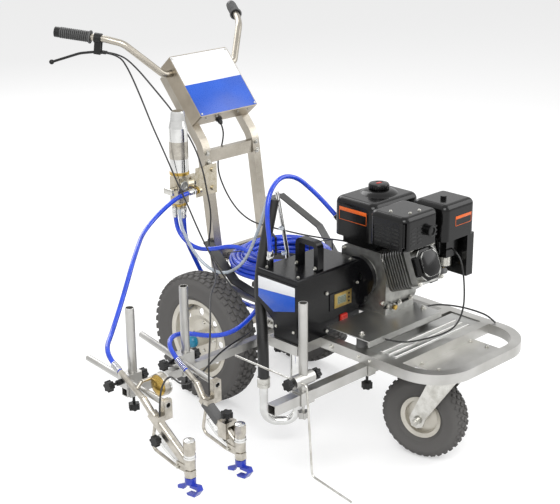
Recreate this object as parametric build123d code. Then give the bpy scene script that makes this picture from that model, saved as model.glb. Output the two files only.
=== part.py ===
"""Line striping machine: a three-wheeled walk-behind cart with a petrol engine, an airless
pump, a hose coil and two paint guns on a side bar.

Working frame while building: x = 0 is the middle of the chassis, y = 0 the rear axle,
z = 0 the ground, -Y the way it drives, -X the operator's right. ORIGIN then moves the
finished parts so that the part's own origin lies on the ground under the middle of its box.
"""
from build123d import *
import os
from math import atan2, cos, degrees, hypot, radians, sin, tan

# ---------------------------------------------------------------- driving dimensions (mm)
ORIGIN = (-233.0, -218.0)      # middle of the box in the working frame

# running clearances
SHAFT_GAP = 0.05               # radial, a shaft in its bore
SLIDE_GAP = 0.3                # radial, a tube in its clamp
SEAT_GAP = 0.3                 # between pieces of different bodies
FIT_GAP = 0.1                  # radial, pieces fixed on a shaft

# chassis
FRAME_WIDTH = 452.0
FRAME_TOP = 366.0
FRAME_FRONT = -958.0
FRAME_REAR = -275.0
FRAME_CORNER = 130.0
RAIL = 30.0
RAIL_WALL = 2.5
SPINE_X = 106.0                # half the spacing of the two rear members and uprights

# rear wheels
REAR_TYRE_R = 212.0
REAR_TYRE_WIDTH = 80.0
REAR_TRACK = 432.0
REAR_RIM_R = 129.0
REAR_SEAT_R = 118.0
AXLE_R = 10.0
HUB_R = 24.0

# caster
CASTER_Y = -830.0
CASTER_TRAIL = 87.0
CASTER_TURN = 14.0             # swivelled at rest, degrees
CASTER_TYRE_R = 131.0
CASTER_TYRE_WIDTH = 84.0
CASTER_RIM_R = 64.0
CASTER_SEAT_R = 56.0
FORK_THICK = 6.0

# handle column and control box
COLUMN_TUBE = 30.0
COLUMN_BASE_Z = 188.0
COLUMN_Y_AT_AXLE = 29.0        # column centre line at the height of the rear axle
COLUMN_LEAN = 8.3              # degrees back from vertical, lower part
COLUMN_BEND_Z = 797.0
COLUMN_TOP_LEAN = 41.0         # degrees back from vertical, upper part
COLUMN_TOP_RUN = 265.0
BOX_WIDTH = 244.0
BOX_LENGTH = 225.0
BOX_DEPTH = 57.0
BOX_WALL = 1.5
HANDLEBAR_R = 11.0
GRIP_R = 16.5
GRIP_LENGTH = 113.0

# pump
PUMP_X0, PUMP_X1 = -322.0, -62.0
PUMP_Y0, PUMP_Y1 = -517.0, -357.0
PUMP_TOP = 565.0
PUMP_WALL = 3.0
PUMP_AXIS = (-252.0, -446.0)
PUMP_BARREL_R = 20.0

# engine
CRANK_Y, CRANK_Z = -510.0, 508.0
PLATE_TOP = 402.0
PLATE_THICK = 3.0
CRANK_R = 9.5

# guns
BAR = 25.0
BAR_WALL = 2.5
GUN_BAR_Y = -330.0
GUN_BAR_LEFT = -795.0
POST_R = 12.5
POST_HEIGHT = 222.0
ROD_R = 9.0
ROD_OFFSET = 24.0
GUN_X = (-765.0, -577.0)       # the two posts
ROD_DROP = (1.6, 9.0)          # each rod's pitch, degrees
GUN_Z_SHIFT = (0.0, -12.0)

# front sight
FRONT_BAR_Y = -685.0
FRONT_BAR_LEFT = -587.0
FRONT_POST_X = -468.0
WIRE_R = 3.0

# hoses and cables
HOSE_R = 7.0
SUCTION_R = 17.0
DRAIN_R = 5.0
CABLE_R = 2.6


# ---------------------------------------------------------------- helpers
TURNED = {"X": Rot(0, 90, 0), "Y": Rot(-90, 0, 0), "Z": Rot(0, 0, 0)}
parts = {}
cord_names = []


def block(x0, x1, y0, y1, z0, z1):
    return Pos((x0 + x1) / 2, (y0 + y1) / 2, (z0 + z1) / 2) * Box(x1 - x0, y1 - y0, z1 - z0)


def rod(axis, centre, radius, length):
    return Pos(*centre) * TURNED[axis] * Cylinder(radius, length)


def ring(axis, centre, outer, inner, length):
    return rod(axis, centre, outer, length) - rod(axis, centre, inner, length + 2)


def spun(axis, centre, outline):
    """A solid of revolution; the outline is (radius, height along the axis)."""
    face = make_face(Polyline(*[(r, 0, h) for r, h in outline], close=True))
    return Pos(*centre) * TURNED[axis] * revolve(face, Axis.Z)


def rod_between(start, end, radius):
    a, b = Vector(*tuple(start)), Vector(*tuple(end))
    plane = Plane(origin=a, z_dir=(b - a).normalized())
    return extrude(plane * Circle(radius), (b - a).length)


def side_plate(x0, x1, outline):
    """A plate with its outline in Y and Z, from x0 to x1."""
    face = make_face(Polyline(*[(x0, y, z) for y, z in outline], close=True))
    return extrude(face, x1 - x0, dir=(1, 0, 0))


def path_of(points, radius):
    return FilletPolyline(*points, radius=radius) if radius else Polyline(*points)


def bent_rod(points, radius, bend):
    path = path_of(points, bend)
    return sweep(Plane(origin=path @ 0, z_dir=path % 0) * Circle(radius), path=path)


def square_tube(points, size, wall, bend=0, up=(0, 0, 1), height=None):
    """A hollow tube of square or rectangular section along a path in one plane."""
    height = height or size
    path = path_of(points, bend)
    plane = Plane(origin=path @ 0, x_dir=up, z_dir=path % 0)
    outer = sweep(plane * Rectangle(height, size), path=path)
    return outer - sweep(plane * Rectangle(height - 2 * wall, size - 2 * wall), path=path)


def star_knob(axis, centre, radius, thick, lobes=6):
    """A star grip: a disc with rounded lobes."""
    knob = rod(axis, centre, radius * 0.78, thick)
    for i in range(lobes):
        a = radians(360 / lobes * i)
        u, v = radius * 0.74 * cos(a), radius * 0.74 * sin(a)
        off = {"X": (0, u, v), "Y": (u, 0, v), "Z": (u, v, 0)}[axis]
        knob += rod(axis, tuple(c + o for c, o in zip(centre, off)), radius * 0.26, thick)
    return knob


def corner_radii(points):
    """The largest arc each corner of a cord's route has room for."""
    radii = []
    for before, here, after in zip(points, points[1:], points[2:]):
        run_in = Vector(*here) - Vector(*before)
        run_out = Vector(*after) - Vector(*here)
        half_turn = radians(run_in.get_angle(run_out)) / 2
        radii.append(0.45 * min(run_in.length, run_out.length) / tan(half_turn))
    return radii


def cord(name, points, radius):
    """A hose or cable: straight runs joined by tangent arcs."""
    radii = corner_radii(points)
    path = FilletPolyline(*points, radius=radii)
    solid = sweep(Plane(origin=path @ 0, z_dir=path % 0) * Circle(radius), path=path)
    share = solid.volume / (3.14159265 * radius**2 * path.length)
    print(f"{name}: length {path.length:.0f} mm, tightest bend {min(radii):.0f} mm, "
          f"volume / (section x length) {share:.4f}")
    cord_names.append(name)
    parts[name] = solid


# ---------------------------------------------------------------- chassis
FRAME_Z = FRAME_TOP - RAIL / 2
FRAME_BOTTOM = FRAME_TOP - RAIL
HALF = FRAME_WIDTH / 2
RAIL_X = HALF - RAIL / 2
INSIDE_X = HALF - RAIL
COLUMN_SLOPE = tan(radians(COLUMN_LEAN))
AXLE_Z = REAR_TYRE_R


def column_y(z):
    """The lower column's centre line."""
    return COLUMN_Y_AT_AXLE + (z - AXLE_Z) * COLUMN_SLOPE


COLUMN_HALF_Y = COLUMN_TUBE / 2 / cos(radians(COLUMN_LEAN))
CROSS_YS = (-440.0, -640.0)
DECK_BACK, DECK_WALL = -705.0, -800.0
DECK_THICK = 3.0
CASTER_PLATE_T = 6.0


def cross_tube(y0, x0=-INSIDE_X, x1=INSIDE_X):
    mid = y0 + RAIL / 2
    return square_tube([(x0, mid, FRAME_Z), (x1, mid, FRAME_Z)], RAIL, RAIL_WALL)


def build_chassis():
    front_y = FRAME_FRONT + RAIL / 2
    loop = [(-RAIL_X, FRAME_REAR + RAIL, FRAME_Z), (-RAIL_X, front_y, FRAME_Z),
            (RAIL_X, front_y, FRAME_Z), (RAIL_X, FRAME_REAR + RAIL, FRAME_Z)]
    frame = square_tube(loop, RAIL, RAIL_WALL, bend=FRAME_CORNER - RAIL / 2)
    frame += cross_tube(FRAME_REAR, -INSIDE_X, INSIDE_X)
    for y in CROSS_YS:
        frame += cross_tube(y - RAIL / 2)
    frame += cross_tube(DECK_WALL)
    for side in (-1, 1):
        x0 = side * SPINE_X - RAIL / 2
        outline, hollow = [], []
        for inset, keep in ((0, outline), (RAIL_WALL, hollow)):
            low, high = FRAME_BOTTOM + inset, FRAME_TOP - inset
            keep.extend([(FRAME_REAR + RAIL, low), (column_y(low) - COLUMN_HALF_Y, low),
                         (column_y(high) - COLUMN_HALF_Y, high), (FRAME_REAR + RAIL, high)])
        frame += side_plate(x0, x0 + RAIL, outline)
        frame -= side_plate(x0 + RAIL_WALL, x0 + RAIL - RAIL_WALL, hollow)
    # plate under the loop that carries the caster
    frame += block(-130, 130, FRAME_FRONT + 12, DECK_WALL + RAIL + 12,
                   FRAME_BOTTOM - CASTER_PLATE_T, FRAME_BOTTOM)
    parts["chassis_frame"] = frame

    deck_top = FRAME_TOP - 3
    deck = block(-INSIDE_X + 1, INSIDE_X - 1, DECK_WALL + RAIL + 1, DECK_BACK + 40,
                 deck_top - DECK_THICK, deck_top)
    for y in (DECK_WALL + RAIL + 14, DECK_WALL + RAIL + 38, DECK_WALL + RAIL + 62):
        rib = block(-INSIDE_X + 16, INSIDE_X - 46, y - 6, y + 6, deck_top, deck_top + 5)
        deck += fillet(rib.edges().group_by(Axis.Z)[-1], 3)
    deck += block(-INSIDE_X + 1, INSIDE_X - 1, DECK_BACK + 40 - DECK_THICK, DECK_BACK + 40,
                  FRAME_BOTTOM + 4, deck_top)
    parts["deck_plate"] = deck


TRAY_X0, TRAY_X1 = PUMP_X0, -HALF
TRAY_Y0, TRAY_Y1 = PUMP_Y0, -400.0


def build_tray():
    tray = block(TRAY_X0, TRAY_X1, TRAY_Y0, TRAY_Y1, FRAME_BOTTOM, FRAME_TOP)
    tray -= block(TRAY_X0 + 3, TRAY_X1 + 1, TRAY_Y0 + 3, TRAY_Y1 - 3,
                  FRAME_BOTTOM - 1, FRAME_TOP - 3)
    tray -= rod("Z", (*PUMP_AXIS, FRAME_TOP), PUMP_BARREL_R + 4, 20)
    parts["pump_tray"] = tray


MOUNT_GAP_Z = PLATE_TOP - PLATE_THICK - FRAME_TOP
MOUNTS = ((-186.0, CROSS_YS[1]), (86.0, CROSS_YS[1]), (-20.0, CROSS_YS[0]), (86.0, CROSS_YS[0]))


def build_engine_plate():
    plate = block(-214, 106, -693, -530, PLATE_TOP - PLATE_THICK, PLATE_TOP)
    plate += block(-52, 106, -531, -395, PLATE_TOP - PLATE_THICK, PLATE_TOP)
    plate += block(-214, 106, -693, -690, PLATE_TOP - 18, PLATE_TOP)
    plate += block(103, 106, -693, -395, PLATE_TOP - 18, PLATE_TOP)
    plate += block(-52, 106, -398, -395, PLATE_TOP - 18, PLATE_TOP)
    for x, y in MOUNTS:
        plate -= rod("Z", (x, y, PLATE_TOP), 4.5, 20)
    parts["engine_plate"] = plate
    rubber = [ring("Z", (x, y, FRAME_TOP + MOUNT_GAP_Z / 2), 15, 4, MOUNT_GAP_Z) for x, y in MOUNTS]
    parts["rubber_mounts"] = Compound(children=rubber)


# ---------------------------------------------------------------- rear axle and wheels
HUB_OUT = 268.0
HUB_IN = 180.0
AXLE_TUBE_R = 18.0


def build_rear_axle():
    end = HUB_OUT + SEAT_GAP
    shaft = rod("X", (0, 0, AXLE_Z), AXLE_R, 2 * end)
    for side in (-1, 1):
        cap = spun("X", (side * end, 0, AXLE_Z), [(0, 0), (19, 0), (19, 8), (15, 15), (8, 19), (0, 20)])
        if side < 0:
            cap = cap.mirror(Plane(origin=(-end, 0, 0), z_dir=(1, 0, 0)))
        shaft += cap
    parts["rear_axle"] = shaft


def build_rear_wheel(name, side):
    centre = (side * REAR_TRACK / 2, 0, AXLE_Z)
    half = REAR_TYRE_WIDTH / 2
    tyre = spun("X", centre, [(REAR_SEAT_R + SHAFT_GAP, 26.2), (REAR_RIM_R + 0.3, 29.7),
                              (REAR_RIM_R + 3, 34), (168, half),
                              (190, half), (204, half - 4), (REAR_TYRE_R - 2, half - 14),
                              (REAR_TYRE_R, 12), (REAR_TYRE_R, -12), (REAR_TYRE_R - 2, 14 - half),
                              (204, 4 - half), (190, -half), (168, -half),
                              (REAR_RIM_R + 3, -34), (REAR_RIM_R + 0.3, -29.7),
                              (REAR_SEAT_R + SHAFT_GAP, -26.2)])
    tyre -= spun("X", centre, [(REAR_SEAT_R - 5, 18), (150, 28), (190, 30), (200, 18),
                               (200, -18), (190, -30), (150, -28), (REAR_SEAT_R - 5, -18)])
    parts["tyre_" + name] = tyre
    # pressed steel barrel with two flanges, a dished disc and a hub
    rim = spun("X", centre, [(REAR_SEAT_R, 26.5), (REAR_RIM_R, 30), (REAR_RIM_R, 32.5),
                             (REAR_SEAT_R - 4, 29), (REAR_SEAT_R - 6, 0), (REAR_SEAT_R - 4, -29),
                             (REAR_RIM_R, -32.5), (REAR_RIM_R, -30), (REAR_SEAT_R, -26.5),
                             (REAR_SEAT_R - 2.5, 0)])
    dish = [(HUB_R, 8), (58, 8), (74, 16), (92, 16), (REAR_SEAT_R - 4.5, 3),
            (REAR_SEAT_R - 4.5, 0), (92, 13), (74, 13), (58, 5), (HUB_R, 5)]
    rim += spun("X", centre, [(r, side * h) for r, h in dish])
    for i in range(8):
        a = radians(45 * i)
        rim -= rod("X", (centre[0] + side * 10, 88 * cos(a), AXLE_Z + 88 * sin(a)), 11, 24)
    mid = side * (HUB_OUT + HUB_IN) / 2
    rim += rod("X", (mid, 0, AXLE_Z), HUB_R, HUB_OUT - HUB_IN)
    rim -= rod("X", (mid, 0, AXLE_Z), AXLE_R + SHAFT_GAP, HUB_OUT - HUB_IN + 2)
    parts["rim_" + name] = rim


# ---------------------------------------------------------------- caster
CASTER_RACE_Z = 300.0
CROWN_TOP = 292.0
CROWN_T = 8.0
LEG_X = CASTER_TYRE_WIDTH / 2 + 8.0
MOUNT_TOP = FRAME_BOTTOM - CASTER_PLATE_T


def swivelled(shape):
    return Pos(0, CASTER_Y, 0) * Rot(0, 0, CASTER_TURN) * shape


def build_caster():
    mount = block(-55, 55, -45, 45, MOUNT_TOP - 8, MOUNT_TOP)
    mount += spun("Z", (0, 0, 0), [(0, CASTER_RACE_Z), (34, CASTER_RACE_Z), (40, CASTER_RACE_Z + 8),
                                   (40, MOUNT_TOP - 7), (0, MOUNT_TOP - 7)])
    mount -= rod("Z", (0, 0, CASTER_RACE_Z), 8 + SHAFT_GAP, 40)
    for x in (-42, 42):
        for y in (-32, 32):
            mount += rod("Z", (x, y, MOUNT_TOP - 11), 7.5, 7)
    parts["caster_mount"] = Pos(0, CASTER_Y, 0) * mount

    fork = block(-LEG_X - FORK_THICK, LEG_X + FORK_THICK, -40, 42, CROWN_TOP - CROWN_T, CROWN_TOP)
    fork += spun("Z", (0, 0, 0), [(0, CROWN_TOP - 1), (36, CROWN_TOP - 1), (33, CASTER_RACE_Z - SEAT_GAP),
                                  (0, CASTER_RACE_Z - SEAT_GAP)])
    fork += rod("Z", (0, 0, CASTER_RACE_Z + 5), 8, 20)
    t = CASTER_TRAIL
    z = CASTER_TYRE_R
    leg = [(-40, CROWN_TOP), (42, CROWN_TOP), (t + 24, z + 6), (t + 17, z - 18), (t, z - 24),
           (t - 18, z - 17), (t - 28, z + 12)]
    for side in (-1, 1):
        x0 = side * LEG_X if side > 0 else -LEG_X - FORK_THICK
        fork += side_plate(x0, x0 + FORK_THICK, leg)
    fork -= rod("X", (0, t, z), 6 + FIT_GAP, 200)
    parts["caster_fork"] = swivelled(fork)

    span = 2 * (LEG_X + FORK_THICK)
    axle = rod("X", (0, t, z), 6, span + 16)
    for side in (-1, 1):
        axle += rod("X", (side * (span / 2 + SEAT_GAP + 4), t, z), 10, 8)
    parts["caster_axle"] = swivelled(axle)

    half = CASTER_TYRE_WIDTH / 2
    seat = CASTER_SEAT_R + SHAFT_GAP
    outline = [(seat, 24.2), (CASTER_RIM_R + 0.3, 28.7), (CASTER_RIM_R + 3, 33), (88, half), (108, half), (122, half - 6),
               (CASTER_TYRE_R, half - 20)]
    tyre = spun("X", (0, t, z), outline + [(r, -h) for r, h in reversed(outline)])
    hollow = [(seat - 5, 15), (80, 28), (110, 31), (119, 20)]
    tyre -= spun("X", (0, t, z), hollow + [(r, -h) for r, h in reversed(hollow)])
    parts["caster_tyre"] = swivelled(tyre)
    seat = CASTER_SEAT_R
    rim = spun("X", (0, t, z), [(seat, 24.5), (CASTER_RIM_R, 29), (CASTER_RIM_R, 31), (seat - 4, 27),
                                (seat - 5, 0), (seat - 4, -27), (CASTER_RIM_R, -31),
                                (CASTER_RIM_R, -29), (seat, -24.5), (seat - 2, 0)])
    for side in (-1, 1):
        rim += spun("X", (0, t, z), [(15, side * 20), (seat - 4, side * 14), (seat - 4, side * 11),
                                     (15, side * 17)])
    rim += rod("X", (0, t, z), 16, 2 * LEG_X - 2)
    rim -= rod("X", (0, t, z), 6 + SHAFT_GAP, 200)
    parts["caster_rim"] = swivelled(rim)


# ---------------------------------------------------------------- handle column
UPPER = radians(COLUMN_TOP_LEAN)
BEND_Y = column_y(COLUMN_BEND_Z)
PANEL_UP = Vector(0, sin(UPPER), cos(UPPER))          # along the upper column
PANEL_OUT = Vector(0, -cos(UPPER), sin(UPPER))        # out of the control panel


def upper_point(run, out=0.0, x=0.0):
    """A point beside the upper column: run above the bend, out in front of its centre line."""
    base = Vector(x, BEND_Y, COLUMN_BEND_Z)
    return base + PANEL_UP * run + PANEL_OUT * out


def build_column():
    base_y = column_y(COLUMN_BASE_Z)
    column = None
    for side in (-1, 1):
        x = side * SPINE_X
        top = upper_point(COLUMN_TOP_RUN, 0, x)
        path = [(x, base_y, COLUMN_BASE_Z), (x, BEND_Y, COLUMN_BEND_Z), tuple(top)]
        tube = square_tube(path, COLUMN_TUBE, RAIL_WALL, bend=60, up=(1, 0, 0))
        column = tube if column is None else column + tube
    inner = SPINE_X - COLUMN_TUBE / 2
    for z in (762.0, 440.0):
        y = column_y(z)
        column += block(-inner, inner, y - 10, y + 10, z - 20, z + 20)
    column += rod("X", (0, 0, AXLE_Z), AXLE_TUBE_R, 2 * (HUB_IN - 1))
    column -= rod("X", (0, 0, AXLE_Z), AXLE_R + FIT_GAP, 2 * HUB_IN + 10)
    parts["handle_column"] = column


def flat_strip(x, width, points, thick):
    """A flat bar bent in a vertical plane, as wide in x as stated."""
    lower = [(y, z - thick) for y, z in reversed(points)]
    return side_plate(x - width / 2, x + width / 2, list(points) + lower)


RACK_TOP = 436.0


def build_braces():
    near = flat_strip(-141, 36, [(column_y(500) - 5, 500), (-62, 398), (-205, FRAME_TOP + 5),
                                 (FRAME_REAR + 14, FRAME_TOP + 5)], 5)
    near += block(-SPINE_X - 24, -SPINE_X - 15, column_y(494) - 12, column_y(494) + 8, 480, 500)
    far = flat_strip(196, 30, [(74, 582), (-107, 512), (-235, FRAME_TOP + 5), (-262, FRAME_TOP + 5)], 5)
    far_y = column_y(574)
    far += block(SPINE_X + 15, 211, far_y - 14, far_y + 14, 570, 576)
    rack = None
    for side in (-1, 1):
        x = side * 70
        rail = block(x - 12, x + 12, -262, column_y(440) - 16, RACK_TOP - 5, RACK_TOP)
        rail += block(x - 12, x + 12, -262, -257, FRAME_TOP, RACK_TOP)
        rack = rail if rack is None else rack + rail
    y = column_y(440) - 10 - FIT_GAP
    rack += block(-SPINE_X + 16, SPINE_X - 16, y - 8, y, RACK_TOP - 5, RACK_TOP)
    parts["side_braces"] = Compound(children=[near, far])
    parts["hose_rack"] = rack


BOX_START = 66.0             # run above the bend where the box begins
BAR_RUN = 247.0
BAR_OUT = 44.0


def build_control_box():
    start = upper_point(BOX_START, COLUMN_TUBE / 2 + SEAT_GAP)
    plane = Plane(origin=start, x_dir=(1, 0, 0), z_dir=tuple(PANEL_OUT))
    body = extrude(plane * Pos(0, BOX_LENGTH / 2) * Rectangle(BOX_WIDTH, BOX_LENGTH), BOX_DEPTH)
    body = fillet(body.edges().filter_by(lambda e: abs(abs((e % 0).dot(PANEL_OUT)) - 1) < 0.01), 6)
    inner = Plane(origin=start + PANEL_OUT * BOX_WALL, x_dir=(1, 0, 0), z_dir=tuple(PANEL_OUT))
    body -= extrude(inner * Pos(0, BOX_LENGTH / 2)
                    * Rectangle(BOX_WIDTH - 2 * BOX_WALL, BOX_LENGTH - 2 * BOX_WALL),
                    BOX_DEPTH - 2 * BOX_WALL)
    bar = upper_point(BAR_RUN, BAR_OUT)
    body -= rod("X", (0, bar.Y, bar.Z), HANDLEBAR_R + 1, 400)
    parts["control_box"] = body


def handlebar_points():
    bar = upper_point(BAR_RUN, BAR_OUT)
    return [(-80.0, bar.Y, bar.Z), (-150.0, bar.Y, bar.Z), (-246.0, 320.0, 1114.0),
            (-280.6, 362.8, 1127.3), (-370.0, 494.0, 1146.0)]


def build_handlebars():
    half = handlebar_points()
    bar = bent_rod(half, HANDLEBAR_R, [26, 60, 150])
    a, b = Vector(*half[-2]), Vector(*half[-1])
    along = (b - a).normalized()
    start = b - along * GRIP_LENGTH
    grip = extrude(Plane(origin=start, z_dir=along) * Circle(GRIP_R), GRIP_LENGTH + 6)
    grip -= extrude(Plane(origin=start - along, z_dir=along) * Circle(HANDLEBAR_R + FIT_GAP),
                    GRIP_LENGTH + 1 + FIT_GAP)
    left = bar.mirror(Plane.YZ)
    cross = rod("X", (0, half[0][1], half[0][2]), HANDLEBAR_R, 160.0)
    parts["handlebars"] = bar + cross + left
    parts["grips"] = Compound(children=[grip, grip.mirror(Plane.YZ)])
    return start, along


def build_trigger_lever(grip_start, along):
    """A clutch-type lever under the right grip, with its clamp on the bar."""
    clamp_at = grip_start - along * 22
    plane = Plane(origin=clamp_at - along * 11, z_dir=along)
    clamp = extrude(plane * Circle(HANDLEBAR_R + 5), 22)
    down = Vector(0, 0, -1)
    side = along.cross(down).normalized()
    down = side.cross(along).normalized()
    pivot = clamp_at + down * 42 - along * 4
    ear_top = clamp_at + down * (HANDLEBAR_R + 3)
    for offset in (-9.0, 5.0):
        base = Plane(origin=(ear_top + pivot) * 0.5 + side * offset, x_dir=along, z_dir=side)
        clamp += extrude(base * Rectangle(22, (pivot - ear_top).length + 16), 4)
    clamp -= extrude(Plane(origin=clamp_at - along * 13, z_dir=along) * Circle(HANDLEBAR_R + FIT_GAP), 26)
    clamp += rod_between(pivot - side * 9, pivot + side * 9, 3)
    for offset in (-6.5, 6.5):
        clamp += rod_between(pivot - along * 10 + side * offset, pivot - along * 26 + side * offset, 4.5)
    parts["lever_clamp"] = clamp
    tip = pivot + along * 152 + down * 56
    mid = pivot + along * 60 + down * 14
    lever = bent_rod([tuple(pivot), tuple(mid), tuple(tip)], 4.2, 120)
    lever += Pos(*tip) * Sphere(8)
    lever += rod_between(pivot - side * 4.6, pivot + side * 4.6, 9)
    lever -= rod_between(pivot - side * 10, pivot + side * 10, 3 + SHAFT_GAP)
    parts["trigger_lever"] = lever
    return pivot, side, along


# ---------------------------------------------------------------- manifold and filter
FILTER_X, FILTER_Y = -236.0, 80.0
FILTER_R = 29.0
FILTER_BOTTOM, FILTER_TOP = 742.0, 938.0
MANIFOLD_Z0, MANIFOLD_Z1 = 648.0, 738.0
PORT_1 = (-210.0, 40.0, 685.0)
PORTS_DOWN = {"hose_gun_2": (-236.0, 66.0, 9.0), "hose_supply": (-250.0, 91.0, 9.0),
              "drain_tube": (-255.0, 62.0, 6.5)}
PORT_Z = 634.0


def build_manifold():
    z_mid = (MANIFOLD_Z0 + MANIFOLD_Z1) / 2
    front = column_y(z_mid) - COLUMN_HALF_Y - 9
    plate = block(-176, -90, front - 4, front, 650, 745)
    for z in (668, 728):
        plate += rod("Y", (-SPINE_X, front - 7, z), 8, 6)
    block_ = block(FILTER_X - 26, FILTER_X + 22, FILTER_Y - 22, FILTER_Y + 22, MANIFOLD_Z0, MANIFOLD_Z1 - 6)
    block_ = fillet(block_.edges().filter_by(Axis.Z), 8)
    block_ += rod("X", (FILTER_X + 30, FILTER_Y, 700), 18, 30)
    block_ += block(FILTER_X + 40, -170, front - 4, FILTER_Y + 10, 672, 726)
    block_ += rod("Z", (FILTER_X, FILTER_Y, MANIFOLD_Z1 - 3), FILTER_R - 3, 6)
    block_ += rod("Y", (PORT_1[0] + 24, 56, PORT_1[2]), 9, 44)
    block_ += rod("X", (PORT_1[0] + 12, PORT_1[1], PORT_1[2]), 8.5, 24)
    for x, y, radius in PORTS_DOWN.values():
        block_ += rod("Z", (x, y, (PORT_Z + MANIFOLD_Z0 + 2) / 2), radius, MANIFOLD_Z0 + 2 - PORT_Z)
    parts["manifold"] = plate + block_
    cup = spun("Z", (FILTER_X, FILTER_Y, 0),
               [(0, MANIFOLD_Z1 + FIT_GAP), (FILTER_R - 4, MANIFOLD_Z1 + FIT_GAP), (FILTER_R, FILTER_BOTTOM + 4),
                (FILTER_R, FILTER_TOP - 52), (FILTER_R - 5, FILTER_TOP - 30), (FILTER_R - 8, FILTER_TOP - 4),
                (FILTER_R - 11, FILTER_TOP), (0, FILTER_TOP)])
    cup -= rod("Z", (FILTER_X, FILTER_Y, (FILTER_BOTTOM + FILTER_TOP) / 2), FILTER_R - 6,
               FILTER_TOP - FILTER_BOTTOM - 70)
    parts["filter_housing"] = cup
    stem_x = FILTER_X - 26
    valve = rod("X", (stem_x - 14 - SEAT_GAP, FILTER_Y, 694), 7, 28)
    valve += block(stem_x - 30, stem_x - 22, FILTER_Y - 26, FILTER_Y + 10, 686, 702)
    parts["prime_valve"] = valve


# ---------------------------------------------------------------- pump
def build_pump():
    top = PUMP_TOP - 17
    outline = [(PUMP_Y0, FRAME_TOP), (PUMP_Y0, top), (PUMP_Y1, top), (PUMP_Y1, 474),
               (PUMP_Y1 - 58, 430), (PUMP_Y1 - 58, FRAME_TOP)]
    body = side_plate(PUMP_X0 + 8, PUMP_X1, outline)
    w = PUMP_WALL
    hollow = [(PUMP_Y0 + w, FRAME_TOP + w), (PUMP_Y0 + w, top - w), (PUMP_Y1 - w, top - w),
              (PUMP_Y1 - w, 474 + w), (PUMP_Y1 - 58 - w, 430 + w), (PUMP_Y1 - 58 - w, FRAME_TOP + w)]
    body -= side_plate(PUMP_X0 + 8 + w, PUMP_X1 - w, hollow)
    body -= rod("Z", (*PUMP_AXIS, FRAME_TOP), PUMP_BARREL_R + FIT_GAP, 20)
    body -= rod("X", (PUMP_X1, CRANK_Y + 20, CRANK_Z), CRANK_R + 6, 20)
    gear = block(PUMP_X1, PUMP_X1 + 14, PUMP_Y0 - 20, PUMP_Y1 - 20, 420, 560)
    gear = fillet(gear.edges().filter_by(Axis.X), 25)
    gear += rod("X", (PUMP_X1 + 7, CRANK_Y, CRANK_Z), 62, 14)
    gear -= rod("X", (PUMP_X1 + 7, CRANK_Y, CRANK_Z), CRANK_R + 6, 60)
    switch_z = 396
    body -= block(-144.6, -117.4, PUMP_Y0 - 1, PUMP_Y0 + 4, switch_z - 18.5, switch_z + 18.5)
    parts["pump_housing"] = body + gear

    cover = block(PUMP_X0, PUMP_X1, PUMP_Y0 - 2, PUMP_Y1 + 2, top + SEAT_GAP, PUMP_TOP)
    cover = fillet(cover.edges().group_by(Axis.Z)[-1], 6)
    cover += rod("Z", (-285, -372, PUMP_TOP + 8), 10, 19.4)
    end = side_plate(PUMP_X0 - 2, PUMP_X0 + 8 - FIT_GAP,
                     [(PUMP_Y0, 392), (PUMP_Y0, top + 1), (PUMP_Y1, top + 1), (PUMP_Y1, 474),
                      (PUMP_Y1 - 66, 420), (PUMP_Y1 - 66, 392)])
    parts["pump_cover"] = cover + end

    handle_x = -215.0
    foot_y0, foot_y1 = -498.0, -424.0
    base = PUMP_TOP + SEAT_GAP
    top_z = base + 78
    legs = [(handle_x, foot_y0, base), (handle_x, foot_y0, top_z), (handle_x, foot_y1, top_z),
            (handle_x, foot_y1, base)]
    handle = square_tube(legs, 16, 7.9, bend=14, up=(1, 0, 0), height=24)
    parts["pump_handle"] = handle

    rocker = block(-144, -118, PUMP_Y0 - 6, PUMP_Y0 + 2, switch_z - 17, switch_z + 17)
    rocker = fillet(rocker.edges().filter_by(Axis.X).group_by(Axis.Y)[0], 4)
    rocker += rod("X", (-131, PUMP_Y0 + 1, switch_z), 4, 26)
    parts["rocker_switch"] = rocker
    panel = block(-190, -80, PUMP_Y0 - 2.5, PUMP_Y0, 436, 488)
    for x in (-204, -76):
        for z in (381, 497):
            panel += rod("Y", (x, PUMP_Y0 - 1.5, z), 4, 3)
    parts["control_panel"] = Compound(children=list(panel.solids()))

    x, y = PUMP_AXIS
    barrel = spun("Z", (x, y, 0), [(7, 372), (PUMP_BARREL_R, 372), (PUMP_BARREL_R, 205),
                                   (PUMP_BARREL_R + 5, 203), (PUMP_BARREL_R + 5, 178),
                                   (PUMP_BARREL_R - 3, 176), (PUMP_BARREL_R - 3, 150),
                                   (7, 150)])
    parts["pump_barrel"] = barrel
    j_pipe = bent_rod([(x, y, 149.7), (x, y, 84), (-322, -378, 84), (-322, -378, 196)], 13, [40, 40])
    parts["suction_pipe"] = j_pipe


PUMP_HOSE_END = (-36.0, -394.0, 666.0)


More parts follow.
